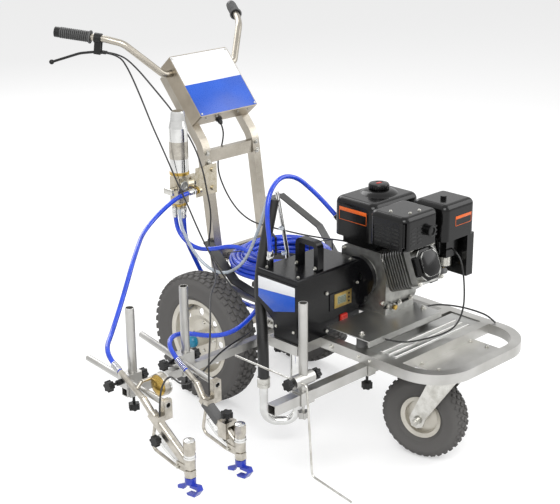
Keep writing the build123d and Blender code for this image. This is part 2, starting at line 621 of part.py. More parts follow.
# ---------------------------------------------------------------- engine
def build_engine():
    case = block(-42, 96, CRANK_Y - 92, CRANK_Y + 84, PLATE_TOP + 16, CRANK_Z + 84)
    case = fillet(case.edges().filter_by(Axis.X), 30)
    case += block(-36, 90, CRANK_Y - 88, CRANK_Y + 80, PLATE_TOP, PLATE_TOP + 20)
    case += rod("X", (-43, CRANK_Y, CRANK_Z), 58, 6)
    case -= rod("X", (20, CRANK_Y, CRANK_Z), 46, 116)
    case += rod("Y", (-20, CRANK_Y - 96, PLATE_TOP + 28), 11, 20)
    parts["crankcase"] = case

    tilt = 22.0
    base = Vector(10, CRANK_Y - 84, CRANK_Z + 28)
    out = Vector(0, -cos(radians(tilt)), sin(radians(tilt)))
    def at(run):
        return Plane(origin=base + out * run, x_dir=(1, 0, 0), z_dir=tuple(out))
    barrel = extrude(at(-6) * Rectangle(86, 96), 116)
    for i in range(9):
        barrel += extrude(at(8 + 10 * i) * RectangleRounded(118, 122, 18), 3.5)
    barrel += extrude(at(98) * RectangleRounded(112, 112, 16), 24)
    parts["cylinder_head"] = barrel - block(-42, 96, CRANK_Y - 92, CRANK_Y + 84, PLATE_TOP, CRANK_Z + 84.3)
    cover = extrude(at(122 + FIT_GAP) * Pos(-14, 0) * RectangleRounded(88, 92, 26), 22)
    cover += extrude(at(144) * Pos(-14, 0) * RectangleRounded(70, 74, 20), 8)
    parts["valve_cover"] = cover

    tank = block(-66, 140, -572, -412, 622, 738)
    tank = fillet(tank.edges().filter_by(Axis.Z), 26)
    tank = fillet(tank.edges().group_by(Axis.Z)[-1], 20)
    neck = (52.0, -486.0)
    tank += rod("Z", (*neck, 742), 24, 12)
    tank -= rod("Z", (*neck, 735), 19, 40)
    tank += block(-40, 90, -560, -430, CRANK_Z + 84 + FIT_GAP, 624)
    end = Vector(*PUMP_HOSE_END)
    inward = Vector(14, -32, -36).normalized()
    tank += rod_between(end + inward * SEAT_GAP, end + inward * 34, 9)
    parts["fuel_tank"] = tank
    cap = rod("Z", (*neck, 758), 31, 18)
    cap -= rod("Z", (*neck, 750), 24 + SLIDE_GAP, 8)
    cap += rod("Z", (*neck, 752), 19 - SLIDE_GAP, 8)
    parts["fuel_cap"] = Pos(0, 0, SEAT_GAP) * cap

    guard = block(-112, 38, -727, -592, 646, 744)
    guard = fillet(guard.edges().filter_by(Axis.Z), 22)
    guard = fillet(guard.edges().group_by(Axis.Z)[-1], 16)
    guard -= block(-109, 35, -724, -595, 640, 730)
    guard += rod("Y", (-10, -732, 690), 15, 14)
    parts["muffler_guard"] = guard
    muffler = block(-100, 26, -715, -604, 652, 722)
    muffler = fillet(muffler.edges().filter_by(Axis.Z), 20)
    muffler += block(-30, 0, -680, -650, 637, 653)
    muffler += block(-108.7, 34.7, -668, -652, 682, 690)
    parts["muffler"] = muffler

    filt = block(46, 184, -742, -618, 640, 748)
    filt = fillet(filt.edges().filter_by(Axis.Z), 20)
    filt = fillet(filt.edges().group_by(Axis.Z)[-1], 18)
    filt += block(154, 184, -740, -640, 512, 642)
    filt += rod("Z", (104, -686, 752), 9, 12)
    parts["air_filter"] = filt
    carb = block(88, 140, -716, -660, 578, 639.7)
    carb += rod("Z", (114, -688, 562), 22, 36)
    carb += block(70, 89, -704, -672, 590, 630)
    parts["carburetor"] = carb

    shroud = spun("X", (97, CRANK_Y, CRANK_Z), [(84, 0), (98, 0), (98, 52), (88, 66), (60, 80), (30, 84),
                                               (0, 84), (0, 79), (30, 79), (58, 75), (84, 62)])
    for i in range(10):
        a = radians(36 * i)
        shroud -= rod("X", (176, CRANK_Y + 46 * cos(a), CRANK_Z + 46 * sin(a)), 7, 30)
    handle_z = CRANK_Z - 30
    front = CRANK_Y - 98
    grip = rod("Y", (136, front - 6, handle_z), 7, 40)
    grip += rod("X", (136, front - 26, handle_z), 8, 28)
    parts["recoil_starter"] = shroud + grip


# ---------------------------------------------------------------- guns on their side bar
BAR_TOP = FRAME_BOTTOM
CLAMP_HALF = 18.0
ARM_Z = 358.0


def strap(x, y, size):
    """A strap under a rail that holds a square bar."""
    wall = 3.0
    half = size / 2 + wall
    piece = block(x - 15, x + 15, y - half, y + half, BAR_TOP - size - wall, BAR_TOP)
    return piece - block(x - 16, x + 16, y - size / 2 - 0.2, y + size / 2 + 0.2,
                         BAR_TOP - size - 0.2, BAR_TOP + 1)


def build_gun_bar():
    bar = square_tube([(GUN_BAR_LEFT, GUN_BAR_Y, BAR_TOP - BAR / 2), (HALF, GUN_BAR_Y, BAR_TOP - BAR / 2)],
                      BAR - 0.4, BAR_WALL)
    parts["gun_bar"] = bar
    for side in (-1, 1):
        parts["chassis_frame"] += strap(side * RAIL_X, GUN_BAR_Y, BAR)
        parts["chassis_frame"] += strap(side * RAIL_X, FRONT_BAR_Y, 30)
    front = square_tube([(FRONT_BAR_LEFT, FRONT_BAR_Y, BAR_TOP - 15), (HALF, FRONT_BAR_Y, BAR_TOP - 15)],
                        30 - 0.4, BAR_WALL)
    parts["front_bar"] = front
    posts = []
    for i, x in enumerate(GUN_X):
        half = BAR / 2 + 3
        sleeve = block(x - 22, x + 22, GUN_BAR_Y - half, GUN_BAR_Y + half, BAR_TOP - BAR - 3, BAR_TOP + 3)
        sleeve -= block(x - 23, x + 23, GUN_BAR_Y - BAR / 2, GUN_BAR_Y + BAR / 2, BAR_TOP - BAR, BAR_TOP)
        sleeve += ring("Z", (x, GUN_BAR_Y, BAR_TOP + 3 + (POST_HEIGHT + 10 * i) / 2), POST_R, POST_R - 2,
                       POST_HEIGHT + 10 * i)
        posts.append(sleeve)
    parts["gun_posts"] = Compound(children=posts)


def under_knob(x, y, top):
    """A star knob that hangs on a stem under a sleeve."""
    return rod("Z", (x, y, top - 14), 4, 28) + star_knob("Z", (x, y, top - 36), 16, 18)


def build_frame_knobs():
    low = BAR_TOP - BAR - 3 - FIT_GAP
    knobs = [under_knob(x, GUN_BAR_Y, low) for x in (*GUN_X, -RAIL_X)]
    knobs.append(under_knob(-RAIL_X, FRONT_BAR_Y, BAR_TOP - 33 - FIT_GAP))
    parts["frame_knobs"] = Compound(children=knobs)


def rod_z(i, y):
    """Height of an arm rod's centre line."""
    return ARM_Z + (y - GUN_BAR_Y) * tan(radians(ARM_PITCH[i]))


ARM_PITCH = (4.5, 9.0)
ARM_REAR = -163.0
ARM_FRONT = (-508.0, -490.0)
GUN_SHIFT = ((0.0, 0.0), (13.0, -26.0))      # second gun against the first, y and z
SWAGE = (((-339.0, 393.0), (-435.0, 345.0)), ((-389.0, 350.0), (-433.0, 326.0)))
GUN_BODY_Y = -616.0


def build_arm(i):
    post_x = GUN_X[i]
    rod_x = post_x - ROD_OFFSET
    clamp = block(post_x - 38, post_x + 20, GUN_BAR_Y - 18, GUN_BAR_Y + 18, ARM_Z - 18, ARM_Z + 18)
    clamp = fillet(clamp.edges().filter_by(Axis.Z), 4)
    clamp -= rod("Z", (post_x, GUN_BAR_Y, ARM_Z), POST_R + SLIDE_GAP, 60)
    arm = rod_between((rod_x, ARM_REAR, rod_z(i, ARM_REAR)), (rod_x, ARM_FRONT[i], rod_z(i, ARM_FRONT[i])),
                      ROD_R)
    arm -= rod_between((rod_x, ARM_FRONT[i] - 5, rod_z(i, ARM_FRONT[i] - 5)),
                       (rod_x, GUN_BAR_Y - 30, rod_z(i, GUN_BAR_Y - 30)), ROD_R - 2)
    parts[f"arm_clamp_{i + 1}"] = clamp + arm
    knobs = []
    stem = rod("X", (post_x - 38 - FIT_GAP - 17, GUN_BAR_Y, ARM_Z), 4, 34)
    stem += rod("X", (post_x - 38 - FIT_GAP - 8, GUN_BAR_Y, ARM_Z), 8, 16)
    knobs.append(stem + star_knob("X", (post_x - 38 - FIT_GAP - 42, GUN_BAR_Y, ARM_Z), 16, 16))
    stem = rod("X", (post_x + 20 + FIT_GAP + 4, GUN_BAR_Y, ARM_Z), 4, 8)
    knobs.append(stem + star_knob("X", (post_x + 20 + FIT_GAP + 15, GUN_BAR_Y, ARM_Z), 16, 16))
    parts[f"arm_knobs_{i + 1}"] = Compound(children=knobs)


def hex_rod(x, y, z0, z1, radius):
    return extrude(Plane(origin=(x, y, z0)) * RegularPolygon(radius, 6), z1 - z0)


def build_gun(i):
    """An airless gun hung with its nozzle down; y and z are those of the first gun, then moved."""
    x = GUN_X[i] - 2 * ROD_OFFSET
    dy, dz = GUN_SHIFT[i]

    def at(y, z, across=0.0):
        return (x + across, y + dy, z + dz)

    body_y = GUN_BODY_Y + dy
    gun = rod("Z", (x, body_y, 238 + dz), 15, 52)
    gun += hex_rod(x, body_y, 264 + dz, 289 + dz, 17)
    gun += rod("Z", (x, body_y, 210 + dz), 11, 8)
    gun += hex_rod(x, body_y, 188 + dz, 208 + dz, 16.5)
    a, b = Vector(*at(-468, 316)), Vector(*at(-606, 222))
    along = (b - a).normalized()
    grip = extrude(Plane(origin=a, x_dir=(1, 0, 0), z_dir=along) * RectangleRounded(24, 30, 9),
                   (b - a).length)
    gun += grip - rod("Z", (x, body_y, 238 + dz), 14, 80)
    # trigger guard tube
    gun += bent_rod([at(-482, 300), at(-463, 214), at(-560, 196), at(-606, 196)], 4.5, [20, 30])
    pivot = at(-584, 209)
    gun += rod("X", pivot, 3, 30)
    for side in (-1, 1):
        gun += block(x + side * 12 - 2, x + side * 12 + 2, body_y, pivot[1] + 6, pivot[2] - 6, pivot[2] + 14)
    # hose swivel and swage
    top, low = SWAGE[i]
    gun += rod_between((x, *top), (x, *low), 8)
    gun += rod_between((x, *low), tuple(a + along * 4), 10)
    gun += Pos(x, *low) * Sphere(10)
    # bracket that hangs the gun from the arm
    rod_x = x + ROD_OFFSET
    end = ARM_FRONT[i]
    hang_y = end + 10
    grip_z = a.Z + (hang_y - a.Y) * along.Z / along.Y
    gun += block(x - 14, rod_x + 13, hang_y - 10, hang_y + 8, grip_z + 8, grip_z + 24)
    gun += block(rod_x - 13, rod_x + 13, hang_y - 10, hang_y + 8, grip_z + 8, rod_z(i, end) + 13)
    gun -= rod_between((rod_x, end - 10, rod_z(i, end - 10)), (rod_x, end + 40, rod_z(i, end + 40)),
                       ROD_R + FIT_GAP)
    parts[f"gun_{i + 1}_body"] = gun
    cable_end = (x, hang_y - 2, grip_z + 24)

    # trigger: hub, curved lever and its free end
    hub = rod("X", pivot, 6.5, 19.4)
    lever = side_plate(x - 6, x + 6, [(y + dy, z + dz) for y, z in
                                      [(-586, 203), (-560, 211), (-520, 228), (-490, 250), (-486, 259),
                                       (-491, 261), (-522, 237), (-560, 219), (-582, 215)]])
    trigger = hub + lever
    trigger -= rod("X", pivot, 3 + SHAFT_GAP, 30)
    parts[f"gun_{i + 1}_trigger"] = trigger

    # nozzle and tip guard
    tip = rod("Z", (x, body_y, 180 + dz), 7, 16)
    tip += spun("Z", (x, body_y, dz), [(7, 186), (15, 186), (15, 168), (10, 164), (7, 164)])
    prong = [(body_y - 6, 166 + dz), (body_y - 34, 172 + dz), (body_y - 40, 160 + dz),
             (body_y - 24, 138 + dz), (body_y + 4, 134 + dz), (body_y + 8, 139 + dz),
             (body_y - 21, 144 + dz), (body_y - 34, 162 + dz), (body_y - 6, 160 + dz)]
    tip += side_plate(x - 9, x + 9, prong)
    blade = [(body_y + 8, 176 + dz), (body_y + 22, 160 + dz), (body_y + 48, 146 + dz),
             (body_y + 48, 136 + dz), (body_y + 24, 142 + dz), (body_y + 8, 166 + dz)]
    tip += side_plate(x - 4, x + 4, blade)
    parts[f"tip_guard_{i + 1}"] = tip

    if i == 0:
        knob = rod("X", (x - 12 - FIT_GAP - 5, -515, 262), 4, 10)
        knob += star_knob("X", (x - 12 - FIT_GAP - 17, -515, 262), 16, 15)
        parts["gun_1_knob"] = knob
        g = (-750.0, -432.0, 366.0)
        gauge = rod("X", g, 32, 20)
        gauge = fillet(gauge.edges(), 3)
        gauge += rod("X", (-773, -405, 379), 5, 40)
        gauge += rod_between((-795, -405, 379), (x, -408, 365.5), 5)
        gauge -= rod_between((x, *top), (x, *low), 8 + FIT_GAP)
        parts["gauge"] = gauge
    else:
        block_y = -552
        z = a.Z + (block_y - a.Y) * along.Z / along.Y
        grey = block(x - 20, x + 20, block_y - 16, block_y + 16, z - 14, z + 34)
        grey -= block(x - 12.3, x + 12.3, block_y - 60, block_y + 60, z - 60, z + 21)
        grey += block(x - 16, x + 16, block_y - 14, block_y + 14, z + 22, z + 34)
        knob = rod("Z", (x, block_y, z + 34 + FIT_GAP + 5), 4, 10)
        knob += star_knob("Z", (x, block_y, z + 34 + FIT_GAP + 17), 17, 15)
        parts["gun_2_clamp"] = grey
        parts["gun_2_knob"] = knob
    return cable_end


# ---------------------------------------------------------------- front sight
SIGHT_Z = 371.0
WIRE_X = -492.0


def build_sight():
    x, y = FRONT_POST_X, FRONT_BAR_Y
    carriage = block(x - 25, x + 25, y - 18.5, y + 18.5, BAR_TOP - 33.5, BAR_TOP + 3.5)
    carriage -= block(x - 26, x + 26, y - 15 - SLIDE_GAP, y + 15 + SLIDE_GAP,
                      BAR_TOP - 30 - SLIDE_GAP, BAR_TOP + SLIDE_GAP)
    foot = BAR_TOP + 3.5
    post = ring("Z", (x, y, foot + FIT_GAP + 125), POST_R, POST_R - 2, 250)
    parts["front_post"] = Compound(children=[carriage, post])
    clamp = rod("X", (x - 4, y, SIGHT_Z), 18, 72)
    clamp -= rod("Z", (x, y, SIGHT_Z), POST_R + SLIDE_GAP, 60)
    clamp -= rod("Y", (WIRE_X, y, SIGHT_Z), WIRE_R + FIT_GAP, 60)
    parts["front_clamp"] = clamp
    knobs = []
    for side in (-1, 1):
        face = x - 4 + side * (36 + FIT_GAP)
        stem = rod("X", (face + side * 5, y, SIGHT_Z), 4, 10)
        knobs.append(stem + star_knob("X", (face + side * 17, y, SIGHT_Z), 16, 15))
    knobs.append(under_knob(x, y, BAR_TOP - 33.5 - FIT_GAP))
    parts["front_clamp_knobs"] = Compound(children=knobs[:2])
    parts["front_post_knob"] = knobs[2]
    wire = [(WIRE_X, -444, SIGHT_Z), (WIRE_X, -722, SIGHT_Z), (WIRE_X, -742, 110), (WIRE_X, -886, 89)]
    parts["pointer_wire"] = bent_rod(wire, WIRE_R, [14, 16])


# ---------------------------------------------------------------- siphon tube, coil, hoses and cables
COIL = {"x": -10.0, "y": -140.0, "a": 175.0, "b": 165.0, "hole_a": 100.0, "hole_b": 92.0,
        "height": 70.0}


def build_siphon():
    tube = bent_rod([(-205, -320, 758), (-166, -320, 570), (-160, -322, 430), (-160, -322, 358)], 6, [90, 90])
    tube += block(-INSIDE_X, -150, -332, -312, 352, 358)
    parts["siphon_tube"] = tube


def build_cords(lever, cable_ends):
    z0 = RACK_TOP + SEAT_GAP
    ring_face = Plane(origin=(COIL["x"], COIL["y"], z0)) * (Ellipse(COIL["a"], COIL["b"])
                                                            - Ellipse(COIL["hole_a"], COIL["hole_b"]))
    coil = extrude(ring_face, COIL["height"])
    coil = fillet(coil.edges(), 6)
    parts["hose_coil"] = coil
    cord_names.append("hose_coil")
    x, y, _ = PORTS_DOWN["hose_gun_2"]
    cord("hose_gun_1", [PORT_1, (-270, 40, 685), (-330, 44, 656), (-390, 38, 625), (-450, 6, 608),
                        (-505, -43, 599), (-560, -88, 578), (-610, -126, 546), (-655, -153, 502),
                        (-700, -181, 465), (-745, -214, 440), (-792, -255, 433), (-813, -295, 415),
                        (-813, *SWAGE[0][0])], HOSE_R)
    cord("hose_gun_2", [(x, y, PORT_Z), (x, y, 580), (-205, 96, 510), (-166, 106, 443),
                        (-148, 86, 380), (-146, 30, 345), (-147, -30, 340), (-148, -92, 338),
                        (-156, -152, 340), (-180, -204, 358), (-214, -247, 386), (-250, -284, 402),
                        (-292, -306, 398), (-336, -316, 385), (-380, -318, 374), (-425, -308, 370),
                        (-467, -287, 376), (-509, -262, 389), (-558, -262, 400), (-601, -287, 400),
                        (-625, -329, 382.7), (-625, SWAGE[1][0][0] + 0.3, SWAGE[1][0][1] + 0.2)], HOSE_R)
    x, y, _ = PORTS_DOWN["hose_supply"]
    cord("hose_supply", [(x, y, PORT_Z), (x, y, 572), (-242, 61, 528), (-227, 16, 506),
                         (-207, -33, 512), (-186, -80, 528), (-167, -122, 530),
                         (-151, -163, z0 + COIL["height"] + 6)], HOSE_R)
    cord("hose_pump", [(-285, -372, PUMP_TOP + 18), (-285, -372, 632), (-279, -356, 684),
                       (-272, -348, 738), (-244, -337, 782), (-190, -325, 804), (-128, -325, 788),
                       (-82, -339, 744), (-50, -362, 702), PUMP_HOSE_END], HOSE_R)
    x, y, _ = PORTS_DOWN["drain_tube"]
    cord("drain_tube", [(x, y, PORT_Z), (x, y, 590), (-251, 44, 548), (-245, 22, 510), (-234, -6, 474),
                        (-222, -42, 450), (-212, -82, 446), (-207, -120, 462), (-205, -165, 495),
                        (-206, -205, 550), (-211, -245, 625), (-217, -278, 690), (-222, -298, 742)], DRAIN_R)
    cord("suction_hose", [(-232, -334, 745), (-264, -332, 628), (-287, -330, 525), (-294, -338, 445),
                          (-308, -360, 370), (-322, -378, 285), (-322, -378, 196.3)], SUCTION_R)
    pivot, side, along = lever
    start = pivot - along * 26.3 + side * 6.5
    cord("cable_gun_1", [tuple(start), tuple(start - along * 42), (-266, 275, 1046), (-278, 205, 972),
                         (-288, 140, 890), (-285, 90, 815), (-276, 50, 735), (-262, 13, 655),
                         (-250, -12, 590), (-240, -42, 530), (-236, -82, 480), (-238, -135, 440),
                         (-240, -195, 398), (-244, -245, 355), (-275, -286, 334), (-330, -308, 340),
                         (-400, -330, 344), (-460, -348, 342), (-510, -364, 334), (-560, -380, 320),
                         (-615, -394, 312), (-665, -412, 330), (-705, -435, 366), (-742, -460, 396),
                         (-782, -484, 402), (-811, cable_ends[0][1], 376),
                         (cable_ends[0][0], cable_ends[0][1], cable_ends[0][2] + SEAT_GAP)], CABLE_R)
    start = pivot - along * 26.3 - side * 6.5
    x, y, z = cable_ends[1]
    cord("cable_gun_2", [tuple(start), tuple(start - along * 44), (-236, 275, 1046), (-222, 205, 985),
                         (-205, 130, 915), (-192, 60, 830), (-190, 22, 755), (-190, 6, 690),
                         (-190, -10, 630), (-194, -12, 575), (-196, -2, 525), (-206, -24, 486),
                         (-240, -76, 470), (-290, -140, 474), (-345, -200, 481), (-410, -258, 494),
                         (-470, -317, 495), (-530, -386, 480), (-590, -450, 440), (x, y, 395),
                         (x, y, z + SEAT_GAP)], CABLE_R)
    underside = upper_point(BOX_START - SEAT_GAP, 30, -20)
    step = upper_point(BOX_START - 36, 30, -20)
    cord("throttle_cable", [tuple(underside), tuple(step), (-20, 118, 790), (-20, 142, 740), (-18, 146, 690),
                            (-8, 134, 640), (4, 112, 592), (20, 84, 552), (36, 40, 526), (50, -20, 522),
                            (58, -90, 522), (62, -170, 526), (64, -250, 534), (62, -340, 548),
                            (60, CRANK_Y + 84 + SEAT_GAP, 556)], CABLE_R)
    cord("carburetor_cable", [(113, -717.4, 602), (112, -744, 592), (108, -764, 550), (106, -774, 490),
                              (100, -778, 434), (74, -776, 390), (30, -766, 375), (-30, -752, 374),
                              (-85, -738, 376), (-128, -721, 384), (-150, -695.4, 392)], CABLE_R)
    cord("rail_cable", [(106.3, -620, 392), (140, -622, 392), (178, -648, 390), (203, -695, 388),
                        (211, -750, 386), (212, -788, 382), (212, -812, FRAME_TOP + CABLE_R)], CABLE_R)


# ---------------------------------------------------------------- the whole machine
build_chassis()
build_tray()
build_engine_plate()
build_rear_axle()
build_rear_wheel("right", -1)
build_rear_wheel("left", 1)
build_caster()
build_column()
build_braces()
build_control_box()
grip_start, grip_along = build_handlebars()
lever_end = build_trigger_lever(grip_start, grip_along)
build_manifold()
build_pump()
build_engine()
build_gun_bar()
build_frame_knobs()
ends = []
for arm in (0, 1):
    build_arm(arm)
    ends.append(build_gun(arm))
build_sight()
build_siphon()
build_cords(lever_end, ends)

# pieces of one finish that never move against each other share a node
SHARED = {"side_bars": ("gun_bar", "front_bar", "gun_posts"),
          "braces": ("side_braces", "hose_rack"),
          "machine_plates": ("deck_plate", "engine_plate", "caster_mount"),
          "caster_fork": ("caster_fork", "caster_axle"),
          "chassis_frame": ("chassis_frame", "pump_tray"),
          "muffler_guard": ("muffler_guard", "muffler"),
          "cylinder_head": ("cylinder_head", "valve_cover"),
          "air_filter": ("air_filter", "carburetor"),
          "pump_barrel": ("pump_barrel", "suction_pipe"),
          "pump_cover": ("pump_cover", "pump_handle"),
          "pump_housing": ("pump_housing", "control_panel"),
          "arm_knobs_1": ("arm_knobs_1", "gun_1_knob"),
          "arm_knobs_2": ("arm_knobs_2", "gun_2_knob"),
          "gun_1_body": ("gun_1_body", "gauge"),
          "gun_2_body": ("gun_2_body", "gun_2_clamp"),
          "front_post": ("front_post", "front_post_knob"),
          "grips": ("grips", "lever_clamp")}
for node, members in SHARED.items():
    solids = [solid for member in members for solid in parts.pop(member).solids()]
    parts[node] = Compound(children=solids)

shift = Pos(-ORIGIN[0], -ORIGIN[1], 0)
os.makedirs("parts", exist_ok=True)
for node, shape in parts.items():
    solids = [shift * solid for solid in shape.solids()]
    export_step(solids[0] if len(solids) == 1 else Compound(children=solids), f"parts/{node}.step")
boxes = [shape.bounding_box() for node, shape in parts.items() if node not in cord_names]
low = [min(tuple(box.min)[k] for box in boxes) for k in range(3)]
high = [max(tuple(box.max)[k] for box in boxes) for k in range(3)]
print("nodes", len(parts), "middle of the box", [round((a + b) / 2, 1) for a, b in zip(low, high)],
      "size", [round(b - a) for a, b in zip(low, high)])
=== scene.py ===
"""Looks of a walk-behind line striping machine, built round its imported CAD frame.

Lengths are millimetres in the machine's working frame (x = 0 the middle of the chassis, y = 0 the
rear axle, z = 0 the ground, -Y forwards, -X the operator's right) until spot() turns them into
metres in the part's own frame.
"""
import logging
import math
from dataclasses import dataclass, field
from enum import Enum
from typing import Iterable, Optional, Sequence

import bpy
from mathutils import Matrix, Vector

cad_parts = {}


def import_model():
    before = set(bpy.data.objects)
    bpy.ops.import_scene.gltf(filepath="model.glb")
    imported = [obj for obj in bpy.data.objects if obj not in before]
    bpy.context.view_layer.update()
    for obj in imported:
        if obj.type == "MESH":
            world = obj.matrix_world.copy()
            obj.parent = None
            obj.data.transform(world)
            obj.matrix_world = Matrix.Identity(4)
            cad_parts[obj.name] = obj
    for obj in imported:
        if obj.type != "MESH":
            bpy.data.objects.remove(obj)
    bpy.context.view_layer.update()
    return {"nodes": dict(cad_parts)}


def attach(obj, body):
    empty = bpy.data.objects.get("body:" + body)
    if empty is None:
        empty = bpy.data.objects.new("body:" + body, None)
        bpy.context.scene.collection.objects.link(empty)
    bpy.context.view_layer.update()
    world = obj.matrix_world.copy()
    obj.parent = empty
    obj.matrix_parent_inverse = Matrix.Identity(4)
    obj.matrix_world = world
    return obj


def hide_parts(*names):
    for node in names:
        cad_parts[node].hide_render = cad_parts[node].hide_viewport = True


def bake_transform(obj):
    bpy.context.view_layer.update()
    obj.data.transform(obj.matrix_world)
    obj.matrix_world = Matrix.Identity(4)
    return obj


LOG = logging.getLogger("line_striper")
Point = tuple[float, float, float]
ORIGIN = (-233.0, -218.0)
MM = 0.001


# ------------------------------------------------------------------ places
def spot(x: float, y: float, z: float) -> Vector:
    """Turn a place in the working frame into the part's frame.

    Args:
        x: Across, in mm.
        y: Along, in mm.
        z: Up, in mm.

    Returns:
        The same place in metres.
    """
    return Vector(((x - ORIGIN[0]) * MM, (y - ORIGIN[1]) * MM, z * MM))


AXLE_Z = 212.0
COLUMN_Y_AT_AXLE = 29.0
COLUMN_LEAN = math.radians(8.3)
COLUMN_BEND_Z = 797.0
UPPER = math.radians(41.0)


def column_y(z: float) -> float:
    """Return the lower column's centre line in y at a height."""
    return COLUMN_Y_AT_AXLE + (z - AXLE_Z) * math.tan(COLUMN_LEAN)


PANEL_UP = Vector((0.0, math.sin(UPPER), math.cos(UPPER)))
PANEL_OUT = Vector((0.0, -math.cos(UPPER), math.sin(UPPER)))


def panel_point(run: float, out: float, x: float) -> Point:
    """Find a point beside the upper column.

    Args:
        run: Distance above the column's bend, along it.
        out: Distance in front of its centre line.
        x: Across.

    Returns:
        The point in the working frame.
    """
    base = Vector((x, column_y(COLUMN_BEND_Z), COLUMN_BEND_Z)) + PANEL_UP * run + PANEL_OUT * out
    return (base.x, base.y, base.z)


# ------------------------------------------------------------------ finishes
def linear(hex_colour: str) -> tuple[float, float, float, float]:
    """Turn an sRGB hex colour into linear values.

    Args:
        hex_colour: Such as "#C9C6BF".

    Returns:
        Red, green, blue and alpha.
    """
    values = [int(hex_colour[i:i + 2], 16) / 255 for i in (1, 3, 5)]
    red, green, blue = (v / 12.92 if v <= 0.04045 else ((v + 0.055) / 1.055) ** 2.4 for v in values)
    return (red, green, blue, 1.0)


def add_node(tree: bpy.types.NodeTree, kind: str, values: Optional[dict] = None,
             **settings: object) -> bpy.types.Node:
    """Add a node with its settings and links.

    Args:
        tree: The material's node tree.
        kind: The node's type.
        values: Socket name or number to a constant, or to an output socket to link.
        **settings: Attributes of the node.

    Returns:
        The node.
    """
    node = tree.nodes.new(kind)
    for name, value in settings.items():
        setattr(node, name, value)
    for name, value in (values or {}).items():
        if isinstance(value, bpy.types.NodeSocket):
            tree.links.new(value, node.inputs[name])
        else:
            node.inputs[name].default_value = value
    return node


class Grain(Enum):
    """How a surface was made, which is what its fine relief shows."""

    POWDER = "baked powder coat"
    BRUSHED = "drawn along its length"
    CAST = "sand cast"
    MOULDED = "moulded in a spark-eroded tool"
    POLISHED = "polished"
    RUBBER = "vulcanised in a mould"
    RIBBED = "extruded with fine rings"


@dataclass(frozen=True)
class Finish:
    """One finish of the machine.

    Args:
        name: Material name, the common name of what it is.
        colour: Main tone, sRGB hex.
        tone: Second tone that the main one drifts to.
        grain: How the surface was made.
        metallic: 0 or 1.
        roughness: Middle of the roughness.
        drift_mm: Size of the patches of the second tone.
        grain_mm: Size of the fine relief.
        relief: Height of the fine relief in mm.
        spread: How far the roughness varies.
        coat: Clear layer over the colour.
        clear: Share of light that passes.
        glint: Strength of the mirror reflection, 0.5 for common plastics.
    """

    name: str
    colour: str
    tone: str
    grain: Grain
    metallic: float = 0.0
    roughness: float = 0.4
    drift_mm: float = 60.0
    grain_mm: float = 2.0
    relief: float = 0.1
    spread: float = 0.08
    coat: float = 0.0
    clear: float = 0.0
    glint: float = 0.5

    def material(self) -> bpy.types.Material:
        """Return this finish's material, made the first time it is asked for."""
        known = bpy.data.materials.get(self.name)
        if known:
            return known
        made = bpy.data.materials.new(self.name)
        made.use_nodes = True
        tree = made.node_tree
        tree.nodes.clear()
        place = add_node(tree, "ShaderNodeTexCoord").outputs["Object"]
        patches = add_node(tree, "ShaderNodeTexNoise",
                           {"Vector": place, "Scale": 1000 / self.drift_mm, "Detail": 3.0})
        tone = add_node(tree, "ShaderNodeValToRGB", {"Fac": patches.outputs["Fac"]})
        tone.color_ramp.elements[0].position = 0.38
        tone.color_ramp.elements[0].color = linear(self.colour)
        tone.color_ramp.elements[1].position = 0.68
        tone.color_ramp.elements[1].color = linear(self.tone)
        fine = self.fine_relief(tree, place)
        rough = add_node(tree, "ShaderNodeMapRange",
                         {"Value": fine, "From Min": 0.3, "From Max": 0.7,
                          "To Min": max(0.03, self.roughness - self.spread),
                          "To Max": self.roughness + self.spread})
        bump = add_node(tree, "ShaderNodeBump", {"Height": fine, "Strength": 0.6,
                                                 "Distance": self.relief * MM})
        shader = add_node(tree, "ShaderNodeBsdfPrincipled",
                          {"Base Color": tone.outputs["Color"], "Metallic": self.metallic,
                           "Roughness": rough.outputs["Result"], "Normal": bump.outputs["Normal"],
                           "Coat Weight": self.coat, "Coat Roughness": 0.08,
                           "Transmission Weight": self.clear,
                           "Specular IOR Level": self.glint})
        add_node(tree, "ShaderNodeOutputMaterial", {"Surface": shader.outputs["BSDF"]})
        return made

    def fine_relief(self, tree: bpy.types.NodeTree,
                    place: bpy.types.NodeSocket) -> bpy.types.NodeSocket:
        """Add the fine relief's texture.

        Args:
            tree: The material's node tree.
            place: Object coordinates.

        Returns:
            The relief, 0 to 1.
        """
        scale = 1000 / self.grain_mm
        if self.grain is Grain.BRUSHED:
            stretched = add_node(tree, "ShaderNodeMapping", {"Vector": place, "Scale": (1.0, 1.0, 0.04)})
            noise = {"Vector": stretched.outputs["Vector"], "Scale": scale, "Detail": 4.0}
            return add_node(tree, "ShaderNodeTexNoise", noise).outputs["Fac"]
        if self.grain is Grain.MOULDED:
            return add_node(tree, "ShaderNodeTexVoronoi",
                            {"Vector": place, "Scale": scale}, feature="SMOOTH_F1").outputs["Distance"]
        detail = {Grain.CAST: 8.0, Grain.POLISHED: 1.0}.get(self.grain, 4.0)
        return add_node(tree, "ShaderNodeTexNoise",
                        {"Vector": place, "Scale": scale, "Detail": detail, "Roughness": 0.6}).outputs["Fac"]


# satin silver powder coat on square tube: soft sheen, a faint orange peel
SILVER_COAT = Finish("silver_powder_coat", "#BDBCB9", "#ACABA7", Grain.POWDER, 1.0, 0.36, 90, 1.6, 0.04)
# folded sheet with the same coat, painted a little brighter: a painted highlight for the light on its wide
# faces
SHEET_COAT_PAINTED_HIGHLIGHT = Finish("silver_sheet_painted_highlight", "#C2C2C0", "#B0B0AD", Grain.POWDER, 1.0, 0.38, 140, 1.6, 0.03)
